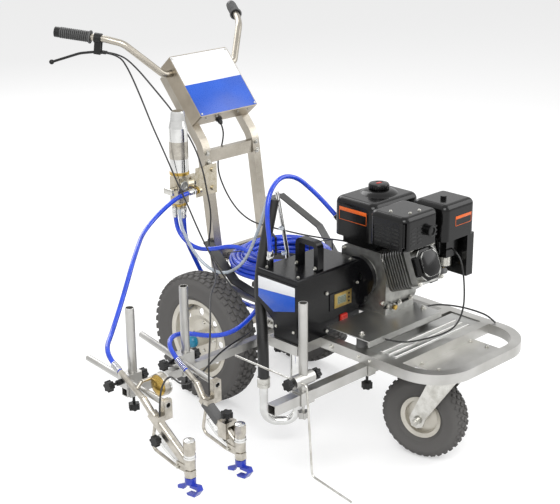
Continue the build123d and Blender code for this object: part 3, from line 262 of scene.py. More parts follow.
# drawn stainless tube: satin with a warm cast and lines along it
SATIN_TUBE = Finish("satin_stainless_tube", "#AEA89D", "#9B958A", Grain.BRUSHED, 1.0, 0.33, 80, 1.2, 0.04)
BRIGHT_ZINC = Finish("bright_zinc", "#CFCEC9", "#B4B2AB", Grain.CAST, 1.0, 0.27, 25, 1.4, 0.03)
CHROME = Finish("chrome_plate", "#DADAD8", "#CACAC8", Grain.POLISHED, 1.0, 0.12, 40, 6.0, 0.02, 0.04)
NICKEL_BRASS = Finish("nickelled_brass", "#BDB6A6", "#A9A08A", Grain.CAST, 1.0, 0.28, 18, 1.4, 0.04)
GOLD_BRASS = Finish("machined_brass", "#C2A35A", "#A98D48", Grain.BRUSHED, 1.0, 0.26, 22, 0.8, 0.02)
CAST_ALLOY = Finish("cast_aluminium", "#A9A9A6", "#8F8F8C", Grain.CAST, 1.0, 0.42, 22, 1.2, 0.12)
GUN_ALLOY = Finish("bead_blasted_alloy", "#BDB8AE", "#A19C92", Grain.CAST, 1.0, 0.3, 20, 1.0, 0.05)
DARK_COAT = Finish("dark_grey_coat", "#434342", "#363635", Grain.POWDER, 0.0, 0.42, 60, 1.6, 0.06)
TREAD_RUBBER = Finish("tyre_rubber", "#0E0D0D", "#171615", Grain.RUBBER, 0.0, 0.62, 40, 2.2, 0.2, 0.1,
                      glint=0.35)
WHEEL_COAT = Finish("wheel_enamel", "#C9C5BB", "#B9B4A8", Grain.POWDER, 0.6, 0.34, 60, 2.0, 0.05)
SOFT_RUBBER = Finish("black_rubber", "#121212", "#191918", Grain.RUBBER, 0.0, 0.6, 20, 1.2, 0.1, glint=0.4)
GLOSS_MOULDING = Finish("gloss_black_nylon", "#070707", "#0C0C0C", Grain.MOULDED, 0.0, 0.2, 60, 1.6,
                        0.02, 0.05, glint=0.3)
MATTE_MOULDING = Finish("matte_black_nylon", "#0F0F0F", "#161616", Grain.MOULDED, 0.0, 0.46, 30, 1.2, 0.08,
                        glint=0.35)
BOX_GREY = Finish("satin_steel_sheet", "#A39A8B", "#938A7C", Grain.BRUSHED, 1.0, 0.38, 70, 1.6, 0.04)
PANEL_WHITE = Finish("white_enamel_plate", "#E9EAEC", "#DEE0E3", Grain.POWDER, 0.0, 0.3, 120, 2.0, 0.01)
PANEL_BLUE = Finish("blue_enamel_plate", "#1F58C4", "#1A4DB2", Grain.POWDER, 0.0, 0.3, 120, 2.0, 0.01)
PUMP_BLACK = Finish("black_stove_enamel", "#08080A", "#0E0E10", Grain.POWDER, 0.0, 0.24, 60, 1.8, 0.03, 0.05,
                    glint=0.3)
SWITCH_RED = Finish("red_polycarbonate", "#B3231B", "#C4372A", Grain.POLISHED, 0.0, 0.2, 20, 4.0, 0.01)
GUARD_BLUE = Finish("blue_acetal", "#2A3DB0", "#23349A", Grain.MOULDED, 0.0, 0.24, 20, 1.4, 0.03)
HOSE_BLUE = Finish("blue_nylon_hose", "#1B47CF", "#153BB4", Grain.RIBBED, 0.0, 0.24, 35, 1.4, 0.03, 0.05, 0.3)
HOSE_CLEAR = Finish("clear_pvc_tube", "#CBD3DA", "#B7C0C8", Grain.POLISHED, 0.0, 0.18, 30, 4.0, 0.01, 0.05,
                    0.2, 0.35)
HOSE_BLACK = Finish("black_hose_rubber", "#141414", "#1D1D1C", Grain.RIBBED, 0.0, 0.45, 30, 1.6, 0.06)
CABLE_BLACK = Finish("black_cable_sheath", "#121212", "#1A1A1A", Grain.RIBBED, 0.0, 0.4, 20, 1.0, 0.03)
ORANGE_LABEL = Finish("orange_vinyl", "#E0651C", "#D2570F", Grain.POLISHED, 0.0, 0.34, 40, 4.0, 0.01)
HUB_TEAL = Finish("teal_nylon_cap", "#1E7FA0", "#186C8A", Grain.MOULDED, 0.0, 0.26, 15, 1.4, 0.03)
LCD_GOLD = Finish("gold_meter_plate", "#B39A5C", "#A48B4E", Grain.BRUSHED, 0.8, 0.34, 30, 0.8, 0.01)
LCD_SCREEN = Finish("meter_glass", "#8D9784", "#87917E", Grain.POLISHED, 0.0, 0.12, 20, 4.0, 0.01)
# black ink for the meter's digits and the gauge's marks, also laid as painted shade in the muffler guard's
# slots
INK_AND_SLOT_SHADE_BLACK = Finish("black_ink_and_painted_shade", "#0B0B0B", "#111111", Grain.POLISHED, 0.0, 0.5, 20, 4.0, 0.01)
DIAL_WHITE = Finish("dial_card", "#E9E7DF", "#DFDCD2", Grain.POLISHED, 0.0, 0.3, 30, 4.0, 0.01)

NODE_FINISH = {
    "chassis_frame": SILVER_COAT, "machine_plates": SHEET_COAT_PAINTED_HIGHLIGHT, "rubber_mounts": SOFT_RUBBER,
    "handle_column": SATIN_TUBE, "braces": DARK_COAT, "rear_axle": BRIGHT_ZINC, "rim_right": WHEEL_COAT,
    "rim_left": WHEEL_COAT, "caster_fork": BRIGHT_ZINC, "caster_rim": WHEEL_COAT, "control_box": BOX_GREY,
    "handlebars": SATIN_TUBE, "grips": MATTE_MOULDING, "trigger_lever": MATTE_MOULDING,
    "manifold": NICKEL_BRASS, "filter_housing": CHROME, "prime_valve": BRIGHT_ZINC,
    "pump_housing": PUMP_BLACK, "pump_cover": PUMP_BLACK, "rocker_switch": SWITCH_RED,
    "pump_barrel": CHROME, "crankcase": CAST_ALLOY, "cylinder_head": CAST_ALLOY,
    "fuel_tank": GLOSS_MOULDING, "muffler_guard": GLOSS_MOULDING, "air_filter": GLOSS_MOULDING,
    "recoil_starter": GLOSS_MOULDING, "side_bars": SILVER_COAT, "frame_knobs": MATTE_MOULDING,
    "arm_clamp_1": SILVER_COAT, "arm_knobs_1": MATTE_MOULDING, "gun_1_body": GUN_ALLOY,
    "gun_1_trigger": CHROME, "arm_clamp_2": SILVER_COAT, "arm_knobs_2": MATTE_MOULDING,
    "gun_2_body": GUN_ALLOY, "gun_2_trigger": CHROME, "tip_guard_1": GUARD_BLUE,
    "tip_guard_2": GUARD_BLUE, "front_post": SILVER_COAT, "front_clamp": SILVER_COAT,
    "front_clamp_knobs": MATTE_MOULDING, "pointer_wire": BRIGHT_ZINC, "siphon_tube": CHROME,
}


# ------------------------------------------------------------------ modelling tools
def let_go() -> None:
    """Leave edit mode with nothing selected."""
    if bpy.context.object and bpy.context.object.mode != "OBJECT":
        bpy.ops.object.mode_set(mode="OBJECT")
    bpy.ops.object.select_all(action="DESELECT")


def pick(piece: bpy.types.Object) -> None:
    """Make a piece the only one selected and the active one."""
    let_go()
    piece.select_set(True)
    bpy.context.view_layer.objects.active = piece


def linked(name: str, data: bpy.types.ID) -> bpy.types.Object:
    """Return a new object of this data, put into the scene."""
    made = bpy.data.objects.new(name, data)
    bpy.context.collection.objects.link(made)
    return made


def settle(piece: bpy.types.Object, name: str) -> bpy.types.Object:
    """Put a piece's place into its mesh and name it.

    Args:
        piece: The piece.
        name: Its name.

    Returns:
        The piece, at the origin.
    """
    pick(piece)
    bpy.ops.object.transform_apply(location=True, rotation=True, scale=True)
    piece.name = name
    piece.data.name = name
    return piece


def apply_modifier(piece: bpy.types.Object, kind: str, **settings: object) -> bpy.types.Object:
    """Add a modifier and apply it.

    Args:
        piece: The piece.
        kind: The modifier's type.
        **settings: Its attributes.

    Returns:
        The piece.
    """
    pick(piece)
    modifier = piece.modifiers.new(kind.lower(), kind)
    for name, value in settings.items():
        setattr(modifier, name, value)
    bpy.ops.object.modifier_apply(modifier=modifier.name)
    return piece


def soften(piece: bpy.types.Object, width: float, segments: int = 2) -> bpy.types.Object:
    """Round a piece's sharp edges.

    Args:
        piece: The piece.
        width: Radius in mm.
        segments: Facets of the rounding.

    Returns:
        The piece, smoothly shaded.
    """
    apply_modifier(piece, "BEVEL", width=width * MM, segments=segments, limit_method="ANGLE",
                   angle_limit=math.radians(35))
    pick(piece)
    bpy.ops.object.shade_smooth_by_angle(angle=math.radians(40))
    return piece


def slab(name: str, low: Point, high: Point, edge: float = 0.6) -> bpy.types.Object:
    """Make a block with rounded edges.

    Args:
        name: Its name.
        low: Lowest corner.
        high: Highest corner.
        edge: Radius of its edges.

    Returns:
        The piece.
    """
    let_go()
    centre = spot(*[(a + b) / 2 for a, b in zip(low, high)])
    bpy.ops.mesh.primitive_cube_add(size=1, location=centre)
    piece = bpy.context.object
    piece.scale = [(b - a) * MM for a, b in zip(low, high)]
    return soften(settle(piece, name), edge)


def bar(name: str, start: Point, end: Point, radius: float, sides: int = 32,
        edge: float = 0.6) -> bpy.types.Object:
    """Make a round or many-sided bar between two points.

    Args:
        name: Its name.
        start: One end.
        end: The other end.
        radius: Its radius.
        sides: Number of sides.
        edge: Radius of its end edges.

    Returns:
        The piece.
    """
    let_go()
    a, b = spot(*start), spot(*end)
    turn = (b - a).to_track_quat("Z", "Y").to_euler()
    bpy.ops.mesh.primitive_cylinder_add(vertices=sides, radius=radius * MM, depth=(b - a).length,
                                        location=(a + b) / 2, rotation=turn)
    piece = settle(bpy.context.object, name)
    return soften(piece, edge) if edge else piece


def drawn_out(points: Sequence[Vector]) -> bpy.types.Object:
    """Draw one vertex out into a chain of edges, and stay in edit mode with all of it selected.

    Args:
        points: The chain's corners, in metres.

    Returns:
        The piece.
    """
    let_go()
    bpy.ops.mesh.primitive_plane_add(size=0.001, location=(0, 0, 0))
    piece = bpy.context.object
    bpy.ops.object.mode_set(mode="EDIT")
    bpy.ops.mesh.select_mode(type="VERT")
    bpy.ops.mesh.select_all(action="SELECT")
    bpy.ops.mesh.merge(type="CENTER")
    bpy.ops.transform.translate(value=points[0])
    for before, here in zip(points, points[1:]):
        bpy.ops.mesh.extrude_region_move(TRANSFORM_OT_translate={"value": here - before})
    bpy.ops.mesh.select_all(action="SELECT")
    return piece


def turned(name: str, base: Point, towards: Point, outline: Sequence[tuple[float, float]],
           steps: int = 48) -> bpy.types.Object:
    """Turn a piece on a lathe by extruding its outline and spinning it.

    Args:
        name: Its name.
        base: Where the outline's height is zero.
        towards: Direction of the axis.
        outline: Radius and height of each corner.
        steps: Facets round the axis.

    Returns:
        The piece.
    """
    piece = drawn_out([Vector((radius, 0, height)) * MM for radius, height in outline])
    bpy.ops.mesh.spin(steps=steps, angle=2 * math.pi, center=(0, 0, 0), axis=(0, 0, 1))
    bpy.ops.mesh.select_all(action="SELECT")
    bpy.ops.mesh.remove_doubles(threshold=0.00001)
    bpy.ops.mesh.normals_make_consistent(inside=False)
    bpy.ops.object.mode_set(mode="OBJECT")
    piece.rotation_mode = "QUATERNION"
    piece.rotation_quaternion = Vector(towards).to_track_quat("Z", "Y")
    piece.location = spot(*base)
    settle(piece, name)
    bpy.ops.object.shade_smooth_by_angle(angle=math.radians(35))
    return piece


def copies(name: str, model: bpy.types.Object, places: Iterable[Matrix]) -> bpy.types.Object:
    """Copy a model to each place and join the copies.

    Args:
        name: Name of the joined piece.
        model: What is copied; it is removed.
        places: Where the copies go.

    Returns:
        The joined piece.
    """
    made = []
    for place in places:
        copy = model.copy()
        copy.data = model.data.copy()
        bpy.context.collection.objects.link(copy)
        copy.data.transform(place)
        made.append(copy)
    bpy.data.objects.remove(model)
    return joined(name, made)


def joined(name: str, members: Sequence[bpy.types.Object]) -> bpy.types.Object:
    """Join pieces into one.

    Args:
        name: Its name.
        members: The pieces.

    Returns:
        The joined piece.
    """
    let_go()
    for member in members:
        member.select_set(True)
    bpy.context.view_layer.objects.active = members[0]
    if len(members) > 1:
        bpy.ops.object.join()
    members[0].name = name
    members[0].data.name = name
    return members[0]


def plate(name: str, corners: Sequence[Point], push: Vector, edge: float = 0.3) -> bpy.types.Object:
    """Make a flat plate: its outline is extruded vertex by vertex, filled and thickened.

    Args:
        name: Its name.
        corners: Its outline.
        push: Direction and thickness, in mm.
        edge: Radius of its edges.

    Returns:
        The piece.
    """
    piece = drawn_out([spot(*corner) for corner in corners])
    bpy.ops.mesh.edge_face_add()
    bpy.ops.mesh.extrude_region_move(TRANSFORM_OT_translate={"value": push * MM})
    bpy.ops.mesh.select_all(action="SELECT")
    bpy.ops.mesh.normals_make_consistent(inside=False)
    bpy.ops.object.mode_set(mode="OBJECT")
    settle(piece, name)
    return soften(piece, edge) if edge else piece


def dress(piece: bpy.types.Object, finish: Finish, body: str, *stands_for: str) -> bpy.types.Object:
    """Give a piece its finish and its body.

    Args:
        piece: The piece.
        finish: Its finish.
        body: The CAD body it rides on.
        *stands_for: CAD nodes it replaces.

    Returns:
        The piece.
    """
    piece.data.materials.clear()
    piece.data.materials.append(finish.material())
    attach(piece, body)
    if stands_for:
        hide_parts(*stands_for)
    LOG.info("%s rides on %s", piece.name, body)
    return piece


def bolt_model(radius: float, height: float, domed: bool = False) -> bpy.types.Object:
    """Model a bolt head on its washer at the origin, standing along +Z.

    Args:
        radius: Across the head's corners, halved.
        height: Of the head.
        domed: Whether it is a round head with a socket.

    Returns:
        The model.
    """
    let_go()
    bpy.ops.mesh.primitive_cylinder_add(vertices=16, radius=radius * 1.35 * MM, depth=1.2 * MM,
                                        location=(0, 0, 0.6 * MM))
    washer = settle(bpy.context.object, "washer")
    bpy.ops.mesh.primitive_cylinder_add(vertices=16 if domed else 6, radius=radius * MM, depth=height * MM,
                                        location=(0, 0, (1.2 + height / 2) * MM))
    head = settle(bpy.context.object, "head")
    bpy.ops.object.mode_set(mode="EDIT")
    bpy.ops.mesh.select_mode(type="FACE")
    bpy.ops.mesh.select_all(action="DESELECT")
    bpy.ops.object.mode_set(mode="OBJECT")
    for face in head.data.polygons:
        face.select = face.normal.z > 0.9
    bpy.ops.object.mode_set(mode="EDIT")
    bpy.ops.mesh.inset(thickness=radius * 0.35 * MM)
    push = -height * 0.5 if domed else height * 0.35
    bpy.ops.mesh.extrude_region_move(TRANSFORM_OT_translate={"value": (0, 0, push * MM)})
    bpy.ops.object.mode_set(mode="OBJECT")
    soften(head, 0.4, 1)
    return joined("bolt_model", [head, washer])


def facing(place: Point, direction: Point) -> Matrix:
    """Return the matrix that stands a model at a place along a direction."""
    turn = Vector(direction).to_track_quat("Z", "Y").to_matrix().to_4x4()
    return Matrix.Translation(spot(*place)) @ turn


# ------------------------------------------------------------------ studio
def seen_rays(tree: bpy.types.NodeTree) -> bpy.types.NodeSocket:
    """Return 1 for rays that show the background: the camera's, reflected and passed ones."""
    rays = add_node(tree, "ShaderNodeLightPath").outputs
    some = add_node(tree, "ShaderNodeMath", {0: rays["Is Camera Ray"], 1: rays["Is Glossy Ray"]},
                    operation="MAXIMUM")
    return add_node(tree, "ShaderNodeMath", {0: some.outputs[0], 1: rays["Is Transmission Ray"]},
                    operation="MAXIMUM").outputs[0]


@dataclass
class Studio:
    """Floor, lights and camera."""

    eye: Point = (-2697.0, -2878.0, 1837.9)
    azimuth: float = -44.3726
    elevation: float = 19.4989
    roll: float = 0.3979
    lens: float = 82.7226
    lamps: list = field(default_factory=lambda: [
        ("key_lamp", (-2600.0, -2600.0, 3600.0), 2.6, 150.0),
        ("fill_lamp", (2600.0, -2600.0, 2600.0), 3.0, 70.0),
        ("back_lamp", (600.0, 3200.0, 3200.0), 2.6, 80.0)])

    def build(self) -> None:
        """Make the camera first, then the floor and the lights."""
        self.camera()
        self.floor()
        for name, place, size, power in self.lamps:
            light = bpy.data.lights.new(name, "AREA")
            light.size = size
            light.energy = power
            lamp = linked(name, light)
            lamp.location = spot(*place)
            aim = spot(-233.0, -218.0, 450.0) - lamp.location
            lamp.rotation_euler = aim.to_track_quat("-Z", "Y").to_euler()
        world = bpy.data.worlds.new("studio")
        bpy.context.scene.world = world
        world.use_nodes = True
        tree = world.node_tree
        tree.nodes.clear()
        bright = add_node(tree, "ShaderNodeMapRange",
                          {"Value": seen_rays(tree), "To Min": 0.62, "To Max": 1.0})
        glow = add_node(tree, "ShaderNodeBackground", {"Color": (1, 1, 1, 1),
                                                       "Strength": bright.outputs["Result"]})
        add_node(tree, "ShaderNodeOutputWorld", {"Surface": glow.outputs["Background"]})
        bpy.context.scene.view_settings.view_transform = "Standard"

    def camera(self) -> None:
        """Place the camera at the solved eye point."""
        a, e, r = (math.radians(v) for v in (self.azimuth, self.elevation, self.roll))
        back = Vector((math.sin(a) * math.cos(e), -math.cos(a) * math.cos(e), math.sin(e)))
        right = Vector((math.cos(a), math.sin(a), 0.0))
        up = back.cross(right)
        across = right * math.cos(r) - up * math.sin(r)
        upright = right * math.sin(r) + up * math.cos(r)
        data = bpy.data.cameras.new("camera")
        data.sensor_width = 36.0
        data.lens = self.lens
        camera = linked("camera", data)
        turn = Matrix((across, upright, back)).transposed().to_4x4()
        camera.matrix_world = Matrix.Translation(spot(*self.eye)) @ turn
        bpy.context.scene.camera = camera

    def floor(self) -> None:
        """Lay a white floor that keeps the machine's shadow."""
        let_go()
        bpy.ops.mesh.primitive_plane_add(size=60, location=(0, 0, -0.0005))
        floor = bpy.context.object
        floor.name = "floor"
        made = bpy.data.materials.new("floor_paper")
        made.use_nodes = True
        tree = made.node_tree
        tree.nodes.clear()
        paper = add_node(tree, "ShaderNodeBsdfDiffuse", {"Color": (0.62, 0.62, 0.62, 1)})
        lift = add_node(tree, "ShaderNodeMath", {0: seen_rays(tree), 1: 0.44}, operation="MULTIPLY")
        glow = add_node(tree, "ShaderNodeEmission", {"Color": (1, 1, 1, 1), "Strength": lift.outputs[0]})
        both = add_node(tree, "ShaderNodeAddShader", {0: paper.outputs[0], 1: glow.outputs[0]})
        add_node(tree, "ShaderNodeOutputMaterial", {"Surface": both.outputs[0]})
        floor.data.materials.append(made)


# ------------------------------------------------------------------ hoses and cables
def nurbs(name: str, points: Sequence[Vector], radius: float, resolution: int,
          bevel: int) -> bpy.types.Curve:
    """Make a round NURBS curve.

    Args:
        name: Its name.
        points: Its control points, in metres.
        radius: Of its section, in mm.
        resolution: Steps between two points.
        bevel: Resolution of its section.

    Returns:
        The curve.
    """
    data = bpy.data.curves.new(name, "CURVE")
    data.dimensions = "3D"
    spline = data.splines.new("NURBS")
    spline.points.add(len(points) - 1)
    for point, place in zip(spline.points, points):
        point.co = (*place, 1.0)
    spline.order_u = 3
    spline.use_endpoint_u = True
    spline.resolution_u = resolution
    data.bevel_depth = radius * MM
    data.bevel_resolution = bevel
    return data


@dataclass
class Line:
    """A hose or cable that follows its own route.

    Args:
        name: Its CAD node's name.
        radius: In mm.
        length: Its real length in metres.
        finish: Its finish.
        route: Control points.
        stiffness: limp, medium or stiff; not used.
        arm: 1 or 2 for a line that ends on a gun, 0 for one that doesn't.
        bend_from: Where a gun's line begins to follow its gun; not used.
        bend_to: Where it follows it wholly; not used.
    """

    name: str
    radius: float
    length: float
    finish: Finish
    route: list
    stiffness: str = "medium"
    arm: int = 0
    bend_from: Point = (0.0, 0.0, 0.0)
    bend_to: Point = (0.0, 0.0, 0.0)

    def curve(self) -> bpy.types.Object:
        """Return the route as a NURBS curve with this line's thickness."""
        data = nurbs(self.name, [spot(*place) for place in self.route], self.radius, 8, 4)
        data.use_fill_caps = True
        return linked(self.name + "_line", data)

    def build(self, *stands_for: str, far_end: str = "object", lay: str = "loose",
              with_pieces: Sequence = ()) -> bpy.types.Object:
        """Args:
            *stands_for: CAD nodes that it replaces.
            far_end: What is on its end; not used.
            lay: How it lies; not used.
            with_pieces: The pieces on it; not used.

        Returns:
            The piece.
        """
        made = self.curve()
        path = None
        if self.arm:
            path = centre_line(made)
            tube = linked(self.name + "_tube", bevelled_mesh(made))
            bpy.data.objects.remove(made)
            made = tube
            made.data.shade_smooth()
        made.data.materials.clear()
        made.data.materials.append(self.finish.material())
        if self.arm:
            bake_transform(made)
        else:
            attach(made, "frame")
        if stands_for:
            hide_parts(*stands_for)
        LOG.info("%s is %.2f m of line", made.name, self.length)
        return made


def bevelled_mesh(curve: bpy.types.Object) -> bpy.types.Mesh:
    """Return a curve's tube as a mesh."""
    bpy.context.view_layer.update()
    seen = curve.evaluated_get(bpy.context.evaluated_depsgraph_get())
    return bpy.data.meshes.new_from_object(seen)


def centre_line(curve: bpy.types.Object) -> list[Vector]:
    """Read the points along a curve's own NURBS spline.

    Args:
        curve: The curve object.

    Returns:
        Points in metres.
    """
    depth = curve.data.bevel_depth
    curve.data.bevel_depth = 0.0
    mesh = bevelled_mesh(curve)
    points = [vertex.co.copy() for vertex in mesh.vertices]
    bpy.data.meshes.remove(mesh)
    curve.data.bevel_depth = depth
    return points


COIL_CENTRE = (-10.0, -140.0)


def coil_route() -> list[Point]:
    """Wind the store of hose: one inner layer on top, then three full layers downwards.

    Returns:
        Control points, 14 to a turn.
    """
    points: list[Point] = [(-151.0, -163.0, 512.3), (-143.0, -184.0, 503.0)]
    steps = 14
    heights = (486.4, 472.1, 457.8, 443.6)
    shifts = ((2.0, -1.0), (-2.5, 1.5), (2.0, 1.0), (0.0, 0.0))
    angle = math.radians(205.0)
    level, reach = 0, 0.60
    inward = True
    turn = 2 * math.pi / steps
    while level < 4:
        last = 1.0 if not inward else 0.0
        count = round(abs(reach - last) * 4 * steps)
        for _ in range(count):
            reach += (-1 if inward else 1) / (4 * steps)
            points.append(coil_point(angle, reach, heights[level], shifts[level], level))
            angle += turn
        reach = last
        if level == 3:
            break
        for k in range(1, 4):
            share = k / 4
            shift = tuple(a + (b - a) * share for a, b in zip(shifts[level], shifts[level + 1]))
            height = heights[level] + (heights[level + 1] - heights[level]) * share
            points.append(coil_point(angle, reach, height, shift, level + share))
            angle += turn
        level += 1
        inward = not inward
    return points


def coil_point(angle: float, reach: float, height: float, shift: Sequence[float],
               level: float) -> Point:
    """Find a point of the coil.

    Args:
        angle: Round the coil.
        reach: 0 at the innermost turn, 1 at the outermost.
        height: Of the hose's centre.
        shift: How far the layer lies off the coil's centre.
        level: Number of the layer, for how its turns lean.

    Returns:
        The point in the working frame.
    """
    lean = 1.0 + 0.014 * math.sin(2 * angle + 1.7 * level)
    a = (109.0 + 57.0 * reach + 2.0) * lean
    b = (101.0 + 56.0 * reach + 2.0) * lean
    return (COIL_CENTRE[0] + shift[0] + a * math.cos(angle),
            COIL_CENTRE[1] + shift[1] + b * math.sin(angle), height)


@dataclass
class Plumbing:
    """Every hose, tube and cable, with the fittings on their ends."""

    def build(self) -> None:
        """Make the lines, the coil and the ferrules."""
        for line in self.lines():
            line.build(line.name)
        self.coil()
        self.ferrules()

    def lines(self) -> list[Line]:
        """Return every free line with its route."""
        return [
            Line("hose_gun_1", 7.0, 0.833, HOSE_BLUE,
                 [(-210, 40, 685), (-270, 40, 685), (-330, 44, 656), (-390, 38, 625), (-450, 6, 608),
                  (-505, -43, 599), (-560, -88, 578), (-610, -126, 546), (-655, -153, 502),
                  (-700, -181, 465), (-745, -214, 440), (-792, -255, 433), (-813, -295, 415),
                  (-813, -339, 393)], "medium", 1, (-300, 20, 650), (-760, -230, 440)),
            Line("hose_gun_2", 7.0, 1.196, HOSE_BLUE,
                 [(-236, 66, 634), (-236, 66, 580), (-205, 96, 510), (-166, 106, 443),
                  (-148, 86, 380), (-146, 30, 345), (-147, -30, 340), (-148, -92, 338),
                  (-156, -152, 340), (-180, -204, 358), (-214, -247, 386), (-250, -284, 402),
                  (-292, -306, 398), (-336, -316, 385), (-380, -318, 374), (-425, -308, 370),
                  (-467, -287, 376), (-509, -262, 389), (-558, -262, 400), (-601, -287, 400),
                  (-625, -329, 382.7), (-625, -388.7, 350.2)], "medium", 2,
                 (-300, -306, 398), (-590, -300, 400)),
            Line("hose_supply", 7.0, 0.364, HOSE_BLUE,
                 [(-250, 91, 634), (-250, 91, 572), (-242, 61, 528), (-227, 16, 506),
                  (-207, -33, 512), (-186, -80, 528), (-167, -122, 530), (-151, -163, 512.3)]),
            Line("hose_pump", 7.0, 0.502, HOSE_BLUE,
                 [(-285, -372, 583), (-285, -372, 632), (-279, -356, 684),
                  (-272, -348, 738), (-244, -337, 782), (-190, -325, 804), (-128, -325, 788),
                  (-82, -339, 744), (-50, -362, 702), (-36, -394, 666)]),
            Line("drain_tube", 5.0, 0.644, HOSE_CLEAR,
                 [(-255, 62, 634), (-255, 62, 590), (-251, 44, 548), (-245, 22, 510), (-234, -6, 474),
                  (-222, -42, 450), (-212, -82, 446), (-207, -120, 462), (-205, -165, 495),
                  (-206, -205, 550), (-211, -245, 625), (-217, -278, 690), (-222, -298, 742)]),
            Line("suction_hose", 17.0, 0.563, HOSE_BLACK,
                 [(-232, -334, 745), (-264, -332, 628), (-287, -330, 525), (-294, -338, 445),
                  (-308, -360, 370), (-322, -378, 285), (-322, -378, 196.3)]),
            Line("cable_gun_1", 2.6, 1.703, CABLE_BLACK,
                 [(-285.7, 358.7, 1085), (-262.2, 324.2, 1080.1), (-266, 275, 1046), (-278, 205, 972),
                  (-288, 140, 890), (-285, 90, 815), (-276, 50, 735), (-262, 13, 655),
                  (-250, -12, 590), (-240, -42, 530), (-236, -82, 480), (-238, -135, 440),
                  (-240, -195, 398), (-244, -245, 355), (-275, -286, 334), (-330, -308, 340),
                  (-400, -330, 344), (-460, -348, 342), (-510, -364, 334), (-560, -380, 320),
                  (-615, -394, 312), (-665, -412, 330), (-705, -435, 366), (-742, -460, 396),
                  (-782, -484, 402), (-811, -500, 376), (-813, -500, 318)], "medium", 1,
                 (-260, -260, 345), (-770, -480, 400)),
            Line("cable_gun_2", 2.6, 1.524, CABLE_BLACK,
                 [(-275, 366, 1085), (-250, 330, 1080), (-236, 275, 1046), (-222, 205, 985),
                  (-205, 130, 915), (-192, 60, 830), (-190, 22, 755), (-190, 6, 690),
                  (-190, -10, 630), (-194, -12, 575), (-196, -2, 525), (-206, -24, 486),
                  (-240, -76, 470), (-290, -140, 474), (-345, -200, 481), (-410, -258, 494),
                  (-470, -317, 495), (-530, -386, 480), (-590, -450, 440), (-625, -482, 395),
                  (-625, -482, 309)], "medium", 2, (-250, -90, 470), (-590, -450, 450)),
            Line("throttle_cable", 2.6, 0.867, CABLE_BLACK,
                 [panel_point(65.7, 30, -20), panel_point(30, 30, -20), (-20, 118, 790), (-20, 142, 740),
                  (-18, 146, 690), (-8, 134, 640), (4, 112, 592), (20, 84, 552), (36, 40, 526),
                  (50, -20, 522), (58, -90, 522), (62, -170, 526), (64, -250, 534), (62, -340, 548),
                  (60, -425.7, 556)]),
            Line("carburetor_cable", 2.6, 0.486, CABLE_BLACK,
                 [(113, -717.4, 602), (112, -744, 592), (108, -764, 550), (106, -774, 490),
                  (100, -778, 434), (74, -776, 390), (30, -766, 375), (-30, -752, 374),
                  (-85, -738, 376), (-128, -721, 384), (-150, -695.4, 392)]),
            Line("rail_cable", 2.6, 0.252, CABLE_BLACK,
                 [(106.3, -620, 392), (140, -622, 392), (178, -648, 390), (203, -695, 388),
                  (211, -750, 386), (212, -788, 382), (212, -812, 368.6)])]

    def coil(self) -> None:
        """Wind the stored hose and end it in a fitting."""
        route = coil_route()
        end, before = Vector(route[-1]), Vector(route[-2])
        along = (end - before).normalized()
        tip = end + along * 34
        fitting = joined("coil_end_fitting", [
            bar("coil_swage", tuple(end - along * 2), tuple(end + along * 22), 8.6),
            bar("coil_nut", tuple(end + along * 20), tuple(tip), 10.5, 6)])
        dress(fitting, CHROME, "frame")
        Line("hose_coil", 7.0, 12.2, HOSE_BLUE, route).build(
            "hose_coil", far_end="fitting", lay="coiled", with_pieces=[fitting])

    def ferrules(self) -> None:
        """Put a crimped ferrule and a nut on each hose end that shows."""
        ends = [((-238, 40, 685), (-213, 40, 685)), ((-236, 66, 600), (-236, 66, 633)),
                ((-250, 91, 600), (-250, 91, 633)), ((-285, -372, 610), (-285, -372, 584))]
        for number, (start, end) in enumerate(ends):
            a, b = Vector(start), Vector(end)
            middle = a.lerp(b, 0.6)
            piece = joined(f"hose_ferrule_{number + 1}", [
                bar("ferrule", start, tuple(middle), 9.2, 32, 1.0), bar("nut", tuple(middle), end, 11.0, 6)])
            dress(piece, CHROME, "frame")


# ------------------------------------------------------------------ wheels
def round_axle(centre: Vector, axis: Vector, angle: float) -> Matrix:
    """Return the matrix that turns a copy round an axle through a centre."""
    return Matrix.Translation(centre) @ Matrix.Rotation(angle, 4, axis) @ Matrix.Translation(-centre)


def round_places(centre: Vector, axis: Point, count: int, shift: float = 0.0) -> list[Matrix]:
    """Return matrices for copies spaced evenly round an axle.

    Args:
        centre: On the axle, in metres.
        axis: Its direction.
        count: Number of copies.
        shift: Of the first copy, as a share of the spacing.

    Returns:
        One matrix for each copy.
    """
    return [round_axle(centre, Vector(axis), (k + shift) * 2 * math.pi / count) for k in range(count)]


def bolted(name: str, body: str, *rows: tuple) -> None:
    """Set rows of zinc plated bolt heads as one piece.

    Args:
        name: The piece's name.
        body: The CAD body it rides on.
        *rows: The heads' radius, height, whether they are domed, the way they face, and their places.
    """
    heads = []
    for radius, height, domed, way, places in rows:
        for place in places:
            head = bolt_model(radius, height, domed)
            head.data.transform(facing(place, way))
            heads.append(head)
    dress(joined(name, heads), BRIGHT_ZINC, body)


